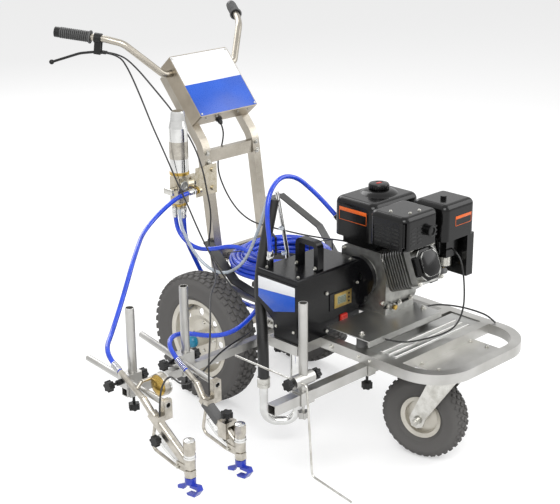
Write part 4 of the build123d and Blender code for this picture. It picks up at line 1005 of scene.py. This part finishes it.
@dataclass
class RearWheels:
    """Pneumatic rear tyres with blocky tread, and the caps on their hubs.

    Args:
        radius: Over the tread.
        track: Between the tyres' middles.
        axle_z: Height of the axle.
        pitch: Tread blocks round the tyre.
    """

    radius: float = 212.0
    track: float = 432.0
    axle_z: float = AXLE_Z
    pitch: int = 46

    def build(self) -> None:
        """Make both tyres and hub caps."""
        for side, name in ((-1, "right"), (1, "left")):
            self.tyre(side, name)
            self.cap(side, name)
            self.rim_details(side, name)

    def tyre(self, side: int, name: str) -> None:
        """Turn the carcass and set its tread on it.

        Args:
            side: -1 or 1.
            name: right or left.
        """
        middle = side * self.track / 2
        half = [(118.3, 26), (129.5, 29.6), (132, 34), (139, 37.2), (141, 38.6), (145, 38.8), (147, 37.9),
                (160, 39), (176, 39.6), (178, 40), (184, 40), (186, 39.4), (194, 37.5), (200, 33), (204, 26),
                (206, 12)]
        outline = half + [(r, -h) for r, h in reversed(half)] + [half[0]]
        carcass = turned("carcass", (middle, 0, self.axle_z), (1, 0, 0), outline, 72)
        centre = spot(middle, 0, self.axle_z)
        top = self.axle_z + self.radius
        block = slab("block", (middle - 9, -9.5, top - 9), (middle + 9, 9.5, top - 0.3), 1.6)
        block.data.transform(round_axle(spot(middle, 0, top), Vector((0, 0, 1)), 0.45))
        rows = [copies("middle_row", block, round_places(centre, (1, 0, 0), self.pitch))]
        for edge in (-1, 1):
            inner = slab("inner_block", (middle + edge * 17 - 5.5, -10, top - 9),
                         (middle + edge * 17 + 5.5, 10, top - 1.2), 1.4)
            rows.append(copies("inner_row", inner, round_places(centre, (1, 0, 0), self.pitch, 0.5)))
            outer = slab("outer_block", (middle + edge * 31 - 6.5, -8.5, top - 16),
                         (middle + edge * 31 + 6.5, 8.5, top - 4.5), 1.6)
            shoulder = spot(middle + edge * 31, 0, top - 8)
            outer.data.transform(round_axle(shoulder, Vector((0, 1, 0)), edge * 0.42))
            rows.append(copies("outer_row", outer, round_places(centre, (1, 0, 0), self.pitch)))
        tyre = joined(f"rear_tyre_{name}", [carcass, *rows])
        dress(tyre, TREAD_RUBBER, f"rear_wheel_{name}", f"tyre_{name}")

    def cap(self, side: int, name: str) -> None:
        """Put a domed cap over the axle's end."""
        dome = turned(f"hub_cap_{name}", (side * 268.35, 0, self.axle_z), (side, 0, 0),
                      [(0.5, 0.1), (21.5, 0.1), (21.5, 9), (19, 15), (13, 20.2), (6, 22.2), (0, 22.6)], 32)
        dress(dome, HUB_TEAL, "frame")

    def rim_details(self, side: int, name: str) -> None:
        """Add the valve and the rim's rivets."""
        middle = side * self.track / 2
        centre = spot(middle, 0, self.axle_z)
        rivet = bolt_model(5.0, 3.0, True)
        rivet.data.transform(facing((middle + side * 8.2, 0, self.axle_z + 48), (side, 0, 0)))
        ring = copies(f"rim_rivets_{name}", rivet, round_places(centre, (1, 0, 0), 4))
        dress(ring, BRIGHT_ZINC, f"rear_wheel_{name}")
        valve = bar(f"valve_{name}", (middle + side * 12, 40, self.axle_z + 98),
                    (middle + side * 34, 38, self.axle_z + 92), 3.2, 12)
        dress(valve, SOFT_RUBBER, f"rear_wheel_{name}")


@dataclass
class CasterWheel:
    """The swivelled front wheel's tyre with diamond knobs, and its axle nuts.

    Args:
        centre_y: Of the swivel.
        trail: From the swivel back to the axle.
        radius: Over the tread.
        swivel: At rest, in degrees.
        knobs: In one row of the tread.
    """

    centre_y: float = -830.0
    trail: float = 87.0
    radius: float = 131.0
    swivel: float = 14.0
    knobs: int = 34

    def swivelled(self, piece: bpy.types.Object) -> bpy.types.Object:
        """Turn a piece made straight ahead to the wheel's place at rest."""
        post = spot(0, self.centre_y, 0)
        piece.data.transform(round_axle(post, Vector((0, 0, 1)), math.radians(self.swivel)))
        return piece

    def build(self) -> None:
        """Make the tyre, the nuts and the fork's washers."""
        y = self.centre_y + self.trail
        half = [(56.3, 24.1), (64.4, 28.6), (67, 33), (72, 37), (74, 39), (78, 39.2), (80, 38.6), (90, 41),
                (100, 41.6), (102, 42), (106, 42), (108, 41.2), (115, 37), (121, 30), (125, 18), (126.5, 7)]
        outline = half + [(r, -h) for r, h in reversed(half)] + [half[0]]
        carcass = turned("caster_carcass", (0, y, self.radius), (1, 0, 0), outline, 64)
        centre = spot(0, y, self.radius)
        top = 2 * self.radius
        rows = []
        for across, size, low, lean, shift in ((0, 8.5, 0.3, 0.0, 0.0), (-15, 7.5, 1.4, 0.0, 0.5),
                                               (15, 7.5, 1.4, 0.0, 0.5), (-28, 7.0, 6.2, -0.55, 0.0),
                                               (28, 7.0, 6.2, 0.55, 0.0)):
            knob = slab("knob", (across - size * 0.7, -size * 0.7, top - low - 9),
                        (across + size * 0.7, size * 0.7, top - low), 1.4)
            here = spot(across, 0, top - low)
            knob.data.transform(Matrix.Translation(here) @ Matrix.Rotation(lean, 4, "Y")
                                @ Matrix.Rotation(math.pi / 4, 4, "Z") @ Matrix.Translation(-here))
            knob.data.transform(Matrix.Translation(spot(0, y, 0) - spot(0, 0, 0)))
            rows.append(copies("knob_row", knob, round_places(centre, (1, 0, 0), self.knobs, shift)))
        tyre = self.swivelled(joined("caster_tread_tyre", [carcass, *rows]))
        dress(tyre, TREAD_RUBBER, "caster_wheel", "caster_tyre")
        nuts = []
        for side in (-1, 1):
            nut = bolt_model(9.5, 7.0)
            nut.data.transform(facing((side * 65.0, y, self.radius), (side, 0, 0)))
            nuts.append(nut)
        dress(self.swivelled(joined("caster_axle_nuts", nuts)), BRIGHT_ZINC, "caster_fork")


# ------------------------------------------------------------------ handle and control box
@dataclass
class Handle:
    """The control box's plates, the column's bolts and the grips' ribs.

    Args:
        box_from: Run above the column's bend where the box begins.
        box_to: Run where it ends.
        box_half: Half its width.
        face: Its front face, out from the column's centre line.
    """

    box_from: float = 66.0
    box_to: float = 291.0
    box_half: float = 122.0
    face: float = 72.3

    def build(self) -> None:
        """Make every trim piece of the handle."""
        self.plates()
        self.bolts()
        self.grip_ribs()

    def panel(self, name: str, low: float, high: float, inset: float, out: float, finish: Finish) -> None:
        """Lay a bare plate on the box's face.

        Args:
            name: Its name.
            low: Run of its lower edge.
            high: Run of its upper edge.
            inset: From the box's sides.
            out: Its lower side above the box's face.
            finish: Its finish.
        """
        left, right = -self.box_half + inset, self.box_half - inset
        corners = [panel_point(low, self.face + out, left), panel_point(low, self.face + out, right),
                   panel_point(high, self.face + out, right), panel_point(high, self.face + out, left)]
        dress(plate(name, corners, PANEL_OUT * 0.7, 0.2), finish, "frame")

    def plates(self) -> None:
        """Lay the white and blue plates, left bare, and the box's screws."""
        split = self.box_from + 116
        self.panel("control_plate_blue", self.box_from + 3, split, 3.0, 0.02, PANEL_BLUE)
        self.panel("control_plate_white", split + 0.1, self.box_to - 3, 3.0, 0.02, PANEL_WHITE)
        bolted("control_box_screws", "frame",
               (2.6, 1.6, True, PANEL_OUT, [panel_point(run, self.face + 0.7, x) for run in
                                            (self.box_from + 9, self.box_to - 9) for x in (-113.0, 113.0)]),
               (3.0, 2.0, True, -PANEL_UP, [panel_point(self.box_from, self.face - 16, x)
                                            for x in (-90.0, -45.0, 45.0, 90.0)]))
        gland = turned("cable_gland", panel_point(self.box_from, 30, -20), tuple(-PANEL_UP),
                       [(3.1, 0), (11, 0), (11, 5), (8, 6), (8, 13), (4.5, 20), (3.1, 20), (3.1, 0)], 24)
        dress(gland, MATTE_MOULDING, "frame")

    def bolts(self) -> None:
        """Bolt the cross pieces to the column, and set two bolts on each side of the frame."""
        sides = [(7.0, 4.5, False, (side, 0, 0), [(side * 226.0, y, 350.0) for y in (-300.0, -560.0)])
                 for side in (-1, 1)]
        bolted("column_bolts", "frame",
               (6.5, 4.5, False, (0, -1, 0.145), [(x, column_y(z) - 15.4, z) for z in
                                                  (776.0, 748.0, 452.0, 428.0) for x in (-106.0, 106.0)]),
               *sides)

    def grip_ribs(self) -> None:
        """Mould rings round both grips."""
        start, along = Vector((-306.806, 401.259, 1132.782)), Vector((-0.55924, 0.82071, 0.11698))
        rings = []
        for side in (1, -1):
            way = Vector((along.x * side, along.y, along.z))
            for k in range(15):
                place = start + along * (8 + 6.4 * k)
                ring = turned("rib", (place.x * side, place.y, place.z), tuple(way),
                              [(16.3, 0), (17.6, 0.8), (17.6, 2.4), (16.3, 3.2)], 28)
                rings.append(ring)
            tail = start + along * 2
            flange = turned("flange", (tail.x * side, tail.y, tail.z), tuple(way),
                            [(16.3, -1), (20.5, -0.6), (21, 1.4), (20.5, 3.4), (16.3, 4)], 28)
            rings.append(flange)
        dress(joined("grip_ribs", rings), SOFT_RUBBER, "frame")


# ------------------------------------------------------------------ pump
@dataclass
class Pump:
    """The pump's bare end plates, its meter, and its screws.

    Args:
        end_x: The end face.
        front_y: The front face.
    """

    end_x: float = -324.05
    front_y: float = -519.55

    def build(self) -> None:
        """Make every trim piece of the pump."""
        self.end_plates()
        self.meter()
        self.screws()
        self.ferrule()

    def end_plates(self) -> None:
        """Lay the white and blue plates on the pump's end, left bare."""
        x = self.end_x
        white = [(x, -511, 516), (x, -511, 543), (x, -363, 543), (x, -363, 505)]
        blue = [(x, -511, 472), (x, -511, 515.8), (x, -363, 504.8), (x, -363, 480), (x, -425, 449)]
        push = Vector((-0.8, 0, 0))
        dress(plate("pump_plate_white", white, push), PANEL_WHITE, "frame")
        dress(plate("pump_plate_blue", blue, push), PANEL_BLUE, "frame")

    def meter(self) -> None:
        """Make the gold meter with its glass, generic digits and buttons."""
        y = self.front_y
        dress(slab("meter_plate", (-172, y - 1.6, 440), (-100, y - 0.02, 484), 0.5), LCD_GOLD, "frame")
        dress(slab("meter_glass", (-160, y - 2.4, 450), (-124, y - 1.5, 475), 0.4), LCD_SCREEN, "frame")
        strokes = []
        segments = [(0, dz, 6, 1.2) for dz in (8, -8, 0)] \
            + [(dx, dz, 1.2, 6) for dz in (4, -4) for dx in (-3.4, 3.4)]
        for x0 in (-153, -142, -131):
            for dx, dz, wide, tall in segments:
                strokes.append(slab("stroke", (x0 + dx - wide / 2, y - 2.9, 462.5 + dz - tall / 2),
                                    (x0 + dx + wide / 2, y - 2.3, 462.5 + dz + tall / 2), 0.2))
        dress(joined("meter_digits", strokes), INK_AND_SLOT_SHADE_BLACK, "frame")
        buttons = [bar("button", (-112, y - 3.4, z), (-112, y - 1.4, z), 3.2, 20, 0.8)
                   for z in (450, 462, 474)]
        dress(joined("meter_buttons", buttons), MATTE_MOULDING, "frame")

    def screws(self) -> None:
        """Screw the housing's front, cover and end."""
        bolted("pump_screws", "frame",
               (4.0, 2.6, True, (0, -1, 0), [(x, -520.1, z) for x in (-204, -76) for z in (381, 497)]),
               (4.0, 2.4, True, (0, 0, 1), [(x, y, 565.05) for y in (-500, -374) for x in (-300, -84)]),
               (3.6, 2.2, True, (-1, 0, 0), [(-324.9, y, 408.0) for y in (-506, -436)]),
               (4.5, 3.0, True, (-1, 0, 0), [(-229.5, y, 574.0) for y in (-498, -424)]))

    def ferrule(self) -> None:
        """Clamp the suction hose to its steel pipe."""
        band = turned("suction_ferrule", (-322, -378, 196.4), (0, 0, 1),
                      [(17.1, 0), (19.4, 0.6), (19.4, 12), (18.2, 13), (19.4, 14), (19.4, 30), (17.1, 31)],
                      36)
        dress(band, BRIGHT_ZINC, "frame")


# ------------------------------------------------------------------ engine
@dataclass
class Engine:
    """The engine's valve cover, fuel cap, slots, labels left bare, plug boot and bolts.

    Args:
        crank_y: The crankshaft's place along.
        crank_z: Its height.
        tilt: The cylinder's lean above level, in degrees.
    """

    crank_y: float = -510.0
    crank_z: float = 508.0
    tilt: float = 22.0

    def build(self) -> None:
        """Make every trim piece of the engine."""
        self.valve_cover()
        self.fuel_cap()
        self.labels()
        self.guard_slots()
        self.plug_lead()
        self.bolts()
        self.carburetor()

    def tilted(self, across: float, up: float, out: float) -> Point:
        """Find a point on the leaning cylinder.

        Args:
            across: From the cylinder's middle.
            up: In the head's face.
            out: From the cylinder's foot.

        Returns:
            The point in the working frame.
        """
        t = math.radians(self.tilt)
        return (10.0 + across, self.crank_y - 84.0 - math.cos(t) * out + math.sin(t) * up,
                self.crank_z + 28.0 + math.sin(t) * out + math.cos(t) * up)

    def valve_cover(self) -> None:
        """Press a black eight-sided cover over the valves."""
        t = math.radians(self.tilt)
        out = Vector((0, -math.cos(t), math.sin(t)))
        corners = [(-59.5, -26), (-38, -47.5), (10, -47.5), (31.5, -26), (31.5, 26), (10, 47.5), (-38, 47.5),
                   (-59.5, 26)]
        shell = plate("valve_cover_shell", [self.tilted(x, u, 121.5) for x, u in corners], out * 23.4, 3.0)
        inner = [(-14 + (x + 14) * 0.8, u * 0.8) for x, u in corners]
        dome = plate("cover_dome", [self.tilted(x, u, 144.0) for x, u in inner], out * 8.6, 3.0)
        dress(joined("valve_cover_shell", [shell, dome]), GLOSS_MOULDING, "frame")

    def fuel_cap(self) -> None:
        """Make the ribbed cap with its red mark."""
        z0 = 749.3
        cap = turned("cap_body", (52, -486, z0), (0, 0, 1),
                     [(24.4, 0), (29, 0), (30.2, 1.4), (30.2, 12), (28.5, 15.5), (24, 16.6), (15, 17.2),
                      (14, 16.2), (0, 16.2)], 48)
        rib = slab("rib", (52 + 28.5, -488.2, z0 + 1.5), (52 + 31, -483.8, z0 + 12.5), 0.6)
        centre = spot(52, -486, 0)
        ribs = copies("cap_ribs", rib, round_places(centre, (0, 0, 1), 24))
        dress(joined("ribbed_fuel_cap", [cap, ribs]), GLOSS_MOULDING, "fuel_cap", "fuel_cap")
        mark = slab("cap_mark", (43, -490, z0 + 16.1), (61, -482, z0 + 17.2), 0.3)
        dress(mark, SWITCH_RED, "fuel_cap")
        crown = turned("tank_crown", (50, -489, 737.8), (0, 0, 1),
                       [(24.6, 0), (24.6, 10.6), (30, 11.2), (40, 9.4), (49, 5.4), (54, 1.6), (56.5, 0)], 64)
        dress(crown, GLOSS_MOULDING, "frame")

    def labels(self) -> None:
        """Stick bare orange strips with a thin outlined field under each."""
        strips = [slab("strip", (-66.7, -544, 700), (-66.02, -438, 711), 0.2)]
        for y0, y1, z0, z1 in ((-544, -438, 672, 673.2), (-544, -542.8, 672, 700), (-439.2, -438, 672, 700)):
            strips.append(slab("outline", (-66.7, y0, z0), (-66.02, y1, z1), 0.1))
        strips.append(slab("strip", (92, -742.7, 700), (164, -742.02, 709), 0.2))
        for x0, x1, z0, z1 in ((92, 164, 680, 681.2), (92, 93.2, 680, 700), (162.8, 164, 680, 700)):
            strips.append(slab("outline", (x0, -742.7, z0), (x1, -742.02, z1), 0.1))
        dress(joined("orange_labels", strips), ORANGE_LABEL, "frame")

    def guard_slots(self) -> None:
        """Lay thin black pieces on the muffler guard's sides and front: painted shade for the insides of its
        slots.
        """
        slots = []
        for z in (660, 671, 682, 693, 704):
            for y0 in (-704, -672, -640):
                slots.append(slab("slot", (-112.6, y0, z), (-111.8, y0 + 24, z + 5), 0.3))
            for x0 in (-86, -58):
                slots.append(slab("slot", (x0, -727.6, z), (x0 + 20, -726.8, z + 5), 0.3))
        for z in (668, 680, 692):
            slots.append(slab("slot", (14, -727.6, z), (28, -726.8, z + 5), 0.3))
        # the slots' black is painted shade, standing in for the shade inside the openings
        dress(joined("muffler_guard_painted_slot_shade", slots), INK_AND_SLOT_SHADE_BLACK, "frame")
        rim = turned("exhaust_rim", (-10, -739.05, 690), (0, -1, 0),
                     [(9, 0), (16.5, 0), (16.5, 2.2), (13, 3.4), (11, 3.4), (10, -2)], 32)
        dress(rim, MATTE_MOULDING, "frame")

    def plug_lead(self) -> None:
        """Fit the spark plug's boot."""
        start = self.tilted(40, -36, 121.5)
        tip = self.tilted(40, -36, 150)
        boot = bar("plug_boot", start, tip, 8.5, 24, 2.0)
        dress(boot, SOFT_RUBBER, "frame")

    def bolts(self) -> None:
        """Bolt the head, crankcase, shroud and plate."""
        t = math.radians(self.tilt)
        up_z = (0, 0, 1)
        bolted("engine_bolts", "frame",
               (6.5, 5.5, False, (0, -math.cos(t), math.sin(t)),
                [self.tilted(across, up, 122.1) for up in (-50, 50) for across in (-50, 46)]),
               (6.0, 4.5, False, (-1, 0, 0),
                [(-42.1, y, z) for y, z in ((-590, 440), (-436, 440), (-590, 575), (-436, 575),
                                            (-513, 428))]),
               (6.0, 4.5, False, (0, -1, 0), [(x, -602.1, 430.0) for x in (-28, 20, 70)]),
               (7.5, 5.5, False, up_z,
                [(x, y, 402.05) for x, y in ((-186, -640), (86, -640), (-20, -440), (86, -440))]),
               (4.0, 2.6, True, up_z, [(x, y, 744.05) for x, y in ((-60, -700), (-20, -700), (-84, -650))]))
        drain = bar("oil_plug", (-20, -618.3, 430), (-20, -624, 430), 8.5, 6, 0.8)
        dress(drain, GOLD_BRASS, "frame")

    def carburetor(self) -> None:
        """Hang the float bowl and its brass drain under the carburetor."""
        bowl = turned("float_bowl", (114, -688, 545), (0, 0, 1),
                      [(0, -7), (6, -7), (7, -2), (16, -1), (22.4, 3), (22.4, 30), (0.5, 30)], 32)
        dress(bowl, BRIGHT_ZINC, "frame")
        dress(bar("bowl_drain", (114, -688, 530), (114, -688, 538.5), 5.5, 6), GOLD_BRASS, "frame")


# ------------------------------------------------------------------ guns
@dataclass
class Guns:
    """What is fixed to the guns beside their cast bodies.

    Args:
        post_x: The two posts.
        offset: From a post to its arm rod, and on to its gun.
    """

    post_x: tuple[float, float] = (-765.0, -577.0)
    offset: float = 24.0

    def build(self) -> None:
        """Make the trim of both guns."""
        self.gauge()
        self.spring()
        self.rubber_handle()
        self.wings()
        self.nuts()

    def gauge(self) -> None:
        """Make the gauge's bezel, its domed brass back and its dial."""
        dome = turned("gauge_dome", (-760.05, -432, 366), (-1, 0, 0),
                      [(0.5, 0), (29, 0), (29, 1.6), (25, 4.6), (16, 8.2), (8, 9.8), (0, 10.2)], 40)
        dress(dome, GOLD_BRASS, "gun_arm_1")
        bezel = turned("gauge_bezel", (-740, -432, 366), (1, 0, 0),
                       [(26, 0), (32.6, 0), (32.6, -4), (33.2, -4), (33.2, 2), (29, 3), (26, 0)], 40)
        dress(bezel, CHROME, "gun_arm_1")
        dial = turned("gauge_dial", (-740, -432, 366), (1, 0, 0), [(27, 0.1), (27, 0.6), (0, 0.6)], 40)
        dress(dial, DIAL_WHITE, "gun_arm_1")
        centre = spot(-739, -432, 366)
        tick = slab("tick", (-739.5, -432.6, 366 + 19), (-739.1, -431.4, 366 + 25), 0.1)
        ticks = copies("ticks", tick, [round_axle(centre, Vector((1, 0, 0)), math.radians(-135 + 27 * k))
                                       for k in range(11)])
        hand = slab("hand", (-739.5, -433, 362), (-739.1, -431, 386), 0.1)
        hand.data.transform(round_axle(centre, Vector((1, 0, 0)), 2.2))
        dress(joined("gauge_marks", [ticks, hand]), INK_AND_SLOT_SHADE_BLACK, "gun_arm_1")

    def spring(self) -> None:
        """Wind a steel spring round each hose's end."""
        for number, x, top, low in ((1, -813.0, (-310.0, 406.0), (-337.0, 393.5)),
                                    (2, -625.0, (-350.0, 372.0), (-387.0, 351.5))):
            a, b = spot(x, *top), spot(x, *low)
            along = (b - a)
            side = along.cross(Vector((1, 0, 0))).normalized()
            across = Vector((1, 0, 0))
            turns, steps = 9, 12
            points = []
            for k in range(turns * steps + 1):
                angle = 2 * math.pi * k / steps
                round_hose = side * math.sin(angle) + across * math.cos(angle)
                points.append(a + along * (k / (turns * steps)) + round_hose * (9.2 * MM))
            wire = linked("spring_wire", nurbs("spring_wire", points, 1.3, 2, 1))
            spring = linked(f"hose_spring_{number}", bevelled_mesh(wire))
            bpy.data.objects.remove(wire)
            spring.data.shade_smooth()
            dress(spring, CHROME, f"gun_arm_{number}")

    def rubber_handle(self) -> None:
        """Sleeve the second gun's handle in rubber."""
        a, b = Vector((-625.0, -455.0, 290.0)), Vector((-625.0, -593.0, 196.0))
        along = (b - a).normalized()
        start, end = a + along * 14, a + along * 84
        side = Vector((1, 0, 0))
        up = along.cross(side)
        corners = [start + side * x * 13.2 + up * u * 16.2
                   for x, u in ((-1, -0.6), (-0.6, -1), (0.6, -1), (1, -0.6), (1, 0.6), (0.6, 1), (-0.6, 1),
                                (-1, 0.6))]
        sleeve = plate("gun_2_sleeve", [tuple(c) for c in corners], end - start, 1.5)
        dress(sleeve, SOFT_RUBBER, "gun_arm_2")

    def wings(self) -> None:
        """Ring each gun's needle housing with a bright collar and top it with a bright cap."""
        for number, y, dz in ((1, -616.0, 0.0), (2, -603.0, -26.0)):
            x = self.post_x[number - 1] - 2 * self.offset
            collar = turned(f"gun_{number}_collar", (x, y, 240 + dz), (0, 0, 1),
                            [(15.05, 0), (16.6, 0.6), (16.6, 5), (15.05, 5.6), (15.05, 9), (16.2, 9.6),
                             (16.2, 12), (15.05, 12.6)], 36)
            dress(collar, CHROME, f"gun_arm_{number}")
            cap = turned(f"gun_{number}_cap", (x, y, 289 + dz), (0, 0, 1),
                         [(14.5, 0.05), (14.5, 3), (9, 5), (0, 5)], 32)
            dress(cap, CHROME, f"gun_arm_{number}")

    def nuts(self) -> None:
        """Add the pivot screws and the hangers' screws."""
        for number, y, z in ((1, -584.0, 209.0), (2, -571.0, 183.0)):
            x = self.post_x[number - 1] - 2 * self.offset
            hang = (-498.0, -480.0)[number - 1]
            high = (352.0, 338.0)[number - 1]
            bolted(f"gun_{number}_screws", f"gun_arm_{number}",
                   (4.5, 3.0, True, (-1, 0, 0), [(x - 15.1, y, z)]),
                   (4.5, 3.0, True, (1, 0, 0), [(x + 15.1, y, z)]),
                   (4.5, 3.5, False, (1, 0, 0), [(x + self.offset + 13.1, hang, high)]))


# ------------------------------------------------------------------ manifold, rack and frame
@dataclass
class FrameTrim:
    """The manifold's valves, the coil's ties, the tube clips, and bolts on the frame."""

    filter_x: float = -236.0
    filter_y: float = 80.0

    def build(self) -> None:
        """Make every trim piece."""
        self.manifold_trim()
        self.coil_ties()
        self.straps()
        self.deck()

    def manifold_trim(self) -> None:
        """Add the grey disc, black knobs and filter band."""
        x, y = self.filter_x, self.filter_y
        disc = turned("manifold_disc", (x - 4, y - 22.05, 706), (0, -1, 0),
                      [(0.5, 0), (15, 0), (15, 5), (13.5, 6.4), (9, 6.4), (8, 5.2), (0, 5.2)], 36)
        dress(disc, CAST_ALLOY, "frame")
        tip = turned("valve_tip", (x + 45.05, y, 700), (1, 0, 0),
                     [(0.5, 0), (11, 0), (11, 12), (9, 14), (0, 14)], 28)
        dress(tip, MATTE_MOULDING, "frame")
        band = turned("filter_band", (x, y, 790), (0, 0, 1),
                      [(29.05, 0), (29.5, 0.4), (29.5, 54), (29.05, 54.4)], 48)
        dress(band, GUN_ALLOY, "frame")
        foot = turned("filter_foot_ring", (x, y, 739), (0, 0, 1),
                      [(25.5, 0), (31, 0), (31, 8), (29.6, 9.5), (29.05, 9.5)], 48)
        dress(foot, GOLD_BRASS, "frame")
        nuts = [bar("nut", (-236, 66, 641), (-236, 66, 649), 12.5, 6),
                bar("nut", (-250, 91, 641), (-250, 91, 649), 12.5, 6),
                bar("nut", (-255, 62, 641), (-255, 62, 649), 9.5, 6),
                bar("nut", (-205, 40, 685), (-197, 40, 685), 12.0, 6)]
        dress(joined("manifold_nuts", nuts), GOLD_BRASS, "frame")
        wing = joined("prime_lever", [
            slab("wing", (-292.5, 50, 684.5), (-284, 92, 703.5), 2.0),
            bar("stem", (-292, 80, 694), (-283, 80, 694), 9.5, 6)])
        dress(wing, BRIGHT_ZINC, "prime_valve", "prime_valve")
        stem = bar("prime_stem", (-284, 80, 694), (-262.4, 80, 694), 6.9, 24)
        dress(stem, BRIGHT_ZINC, "prime_valve")

    def coil_ties(self) -> None:
        """Tie the coil of hose with four black ties."""
        ties = []
        half_width = 3.5
        for degrees in (150.0, 262.0, 338.0, 60.0):
            angle = math.radians(degrees)
            ray = Vector((math.cos(angle), math.sin(angle), 0))
            centre = Vector((*COIL_CENTRE, 0.0))
            inner = centre + Vector((98.0 * ray.x, 90.0 * ray.y, 0))
            outer = centre + Vector((177.5 * ray.x, 167.5 * ray.y, 0))
            flat = (outer - inner).normalized()
            side = Vector((-flat.y, flat.x, 0))
            for end, near, low, tall in ((inner, outer, 495.4, 1.6), (inner, inner - flat * 1.4, 437.0, 60.0),
                                         (outer, outer + flat * 1.4, 437.0, 60.0)):
                foot = [end + side * half_width, near + side * half_width, near - side * half_width,
                        end - side * half_width]
                ties.append(plate("tie", [(p.x, p.y, low) for p in foot], Vector((0, 0, tall)), 0.3))
        dress(joined("coil_ties", ties), MATTE_MOULDING, "frame")

    def straps(self) -> None:
        """Bolt the bars' straps, the caster's plate and the braces."""
        sides = [(4.5, 3.5, False, (side, 0, 0),
                  [(side * 226.05, y, 351.0) for y in (-348, -312, -706, -664)]) for side in (-1, 1)]
        bolted("frame_bolts", "frame", *sides,
               (5.5, 4.0, False, (0, 0, 1),
                [(x, y, 336.05) for y in (-905, -860, -800) for x in (-110, 110)]),
               (6.0, 4.5, False, (0, 0, 1),
                [(x, y, 371.05) for x, y in ((-141, -215), (-141, -245), (196, -250))]))

    def deck(self) -> None:
        """Clip the standing tube pair and lay a weld bead under each post."""
        clips = []
        for z in (392.0, 470.0, 560.0, 640.0):
            share = max(0.0, (z - 430.0) / 328.0)
            x = -160.0 - 45.0 * share if z > 430 else -160.0
            clips.append(turned("clip", (x, -320.6, z), (-0.12 if z > 430 else 0, 0, 1),
                                [(6.1, 0), (8.6, 0.4), (8.6, 6.6), (6.1, 7)], 24))
        dress(joined("tube_clips", clips), HOSE_CLEAR, "frame")
        for number, x in ((1, -765.0), (2, -577.0)):
            bead = turned(f"post_weld_{number}", (x, -330, 339.0), (0, 0, 1),
                          [(12.55, 0.05), (16.5, 0.05), (15.6, 2.2), (13.4, 3.6), (12.55, 3.8)], 32)
            dress(bead, SILVER_COAT, "frame")


# ------------------------------------------------------------------ main
def main() -> None:
    """Load the frame, dress it and build every sub-assembly."""
    logging.basicConfig(level=logging.INFO, format="%(message)s")
    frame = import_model()
    Studio().build()
    for node, finish in NODE_FINISH.items():
        data = frame["nodes"][node].data
        data.materials.clear()
        data.materials.append(finish.material())
    Plumbing().build()
    for assembly in (RearWheels(), CasterWheel(), Handle(), Pump(), Engine(), Guns(), FrameTrim()):
        LOG.info("building %s", type(assembly).__name__)
        assembly.build()


if __name__ == "__main__":
    main()
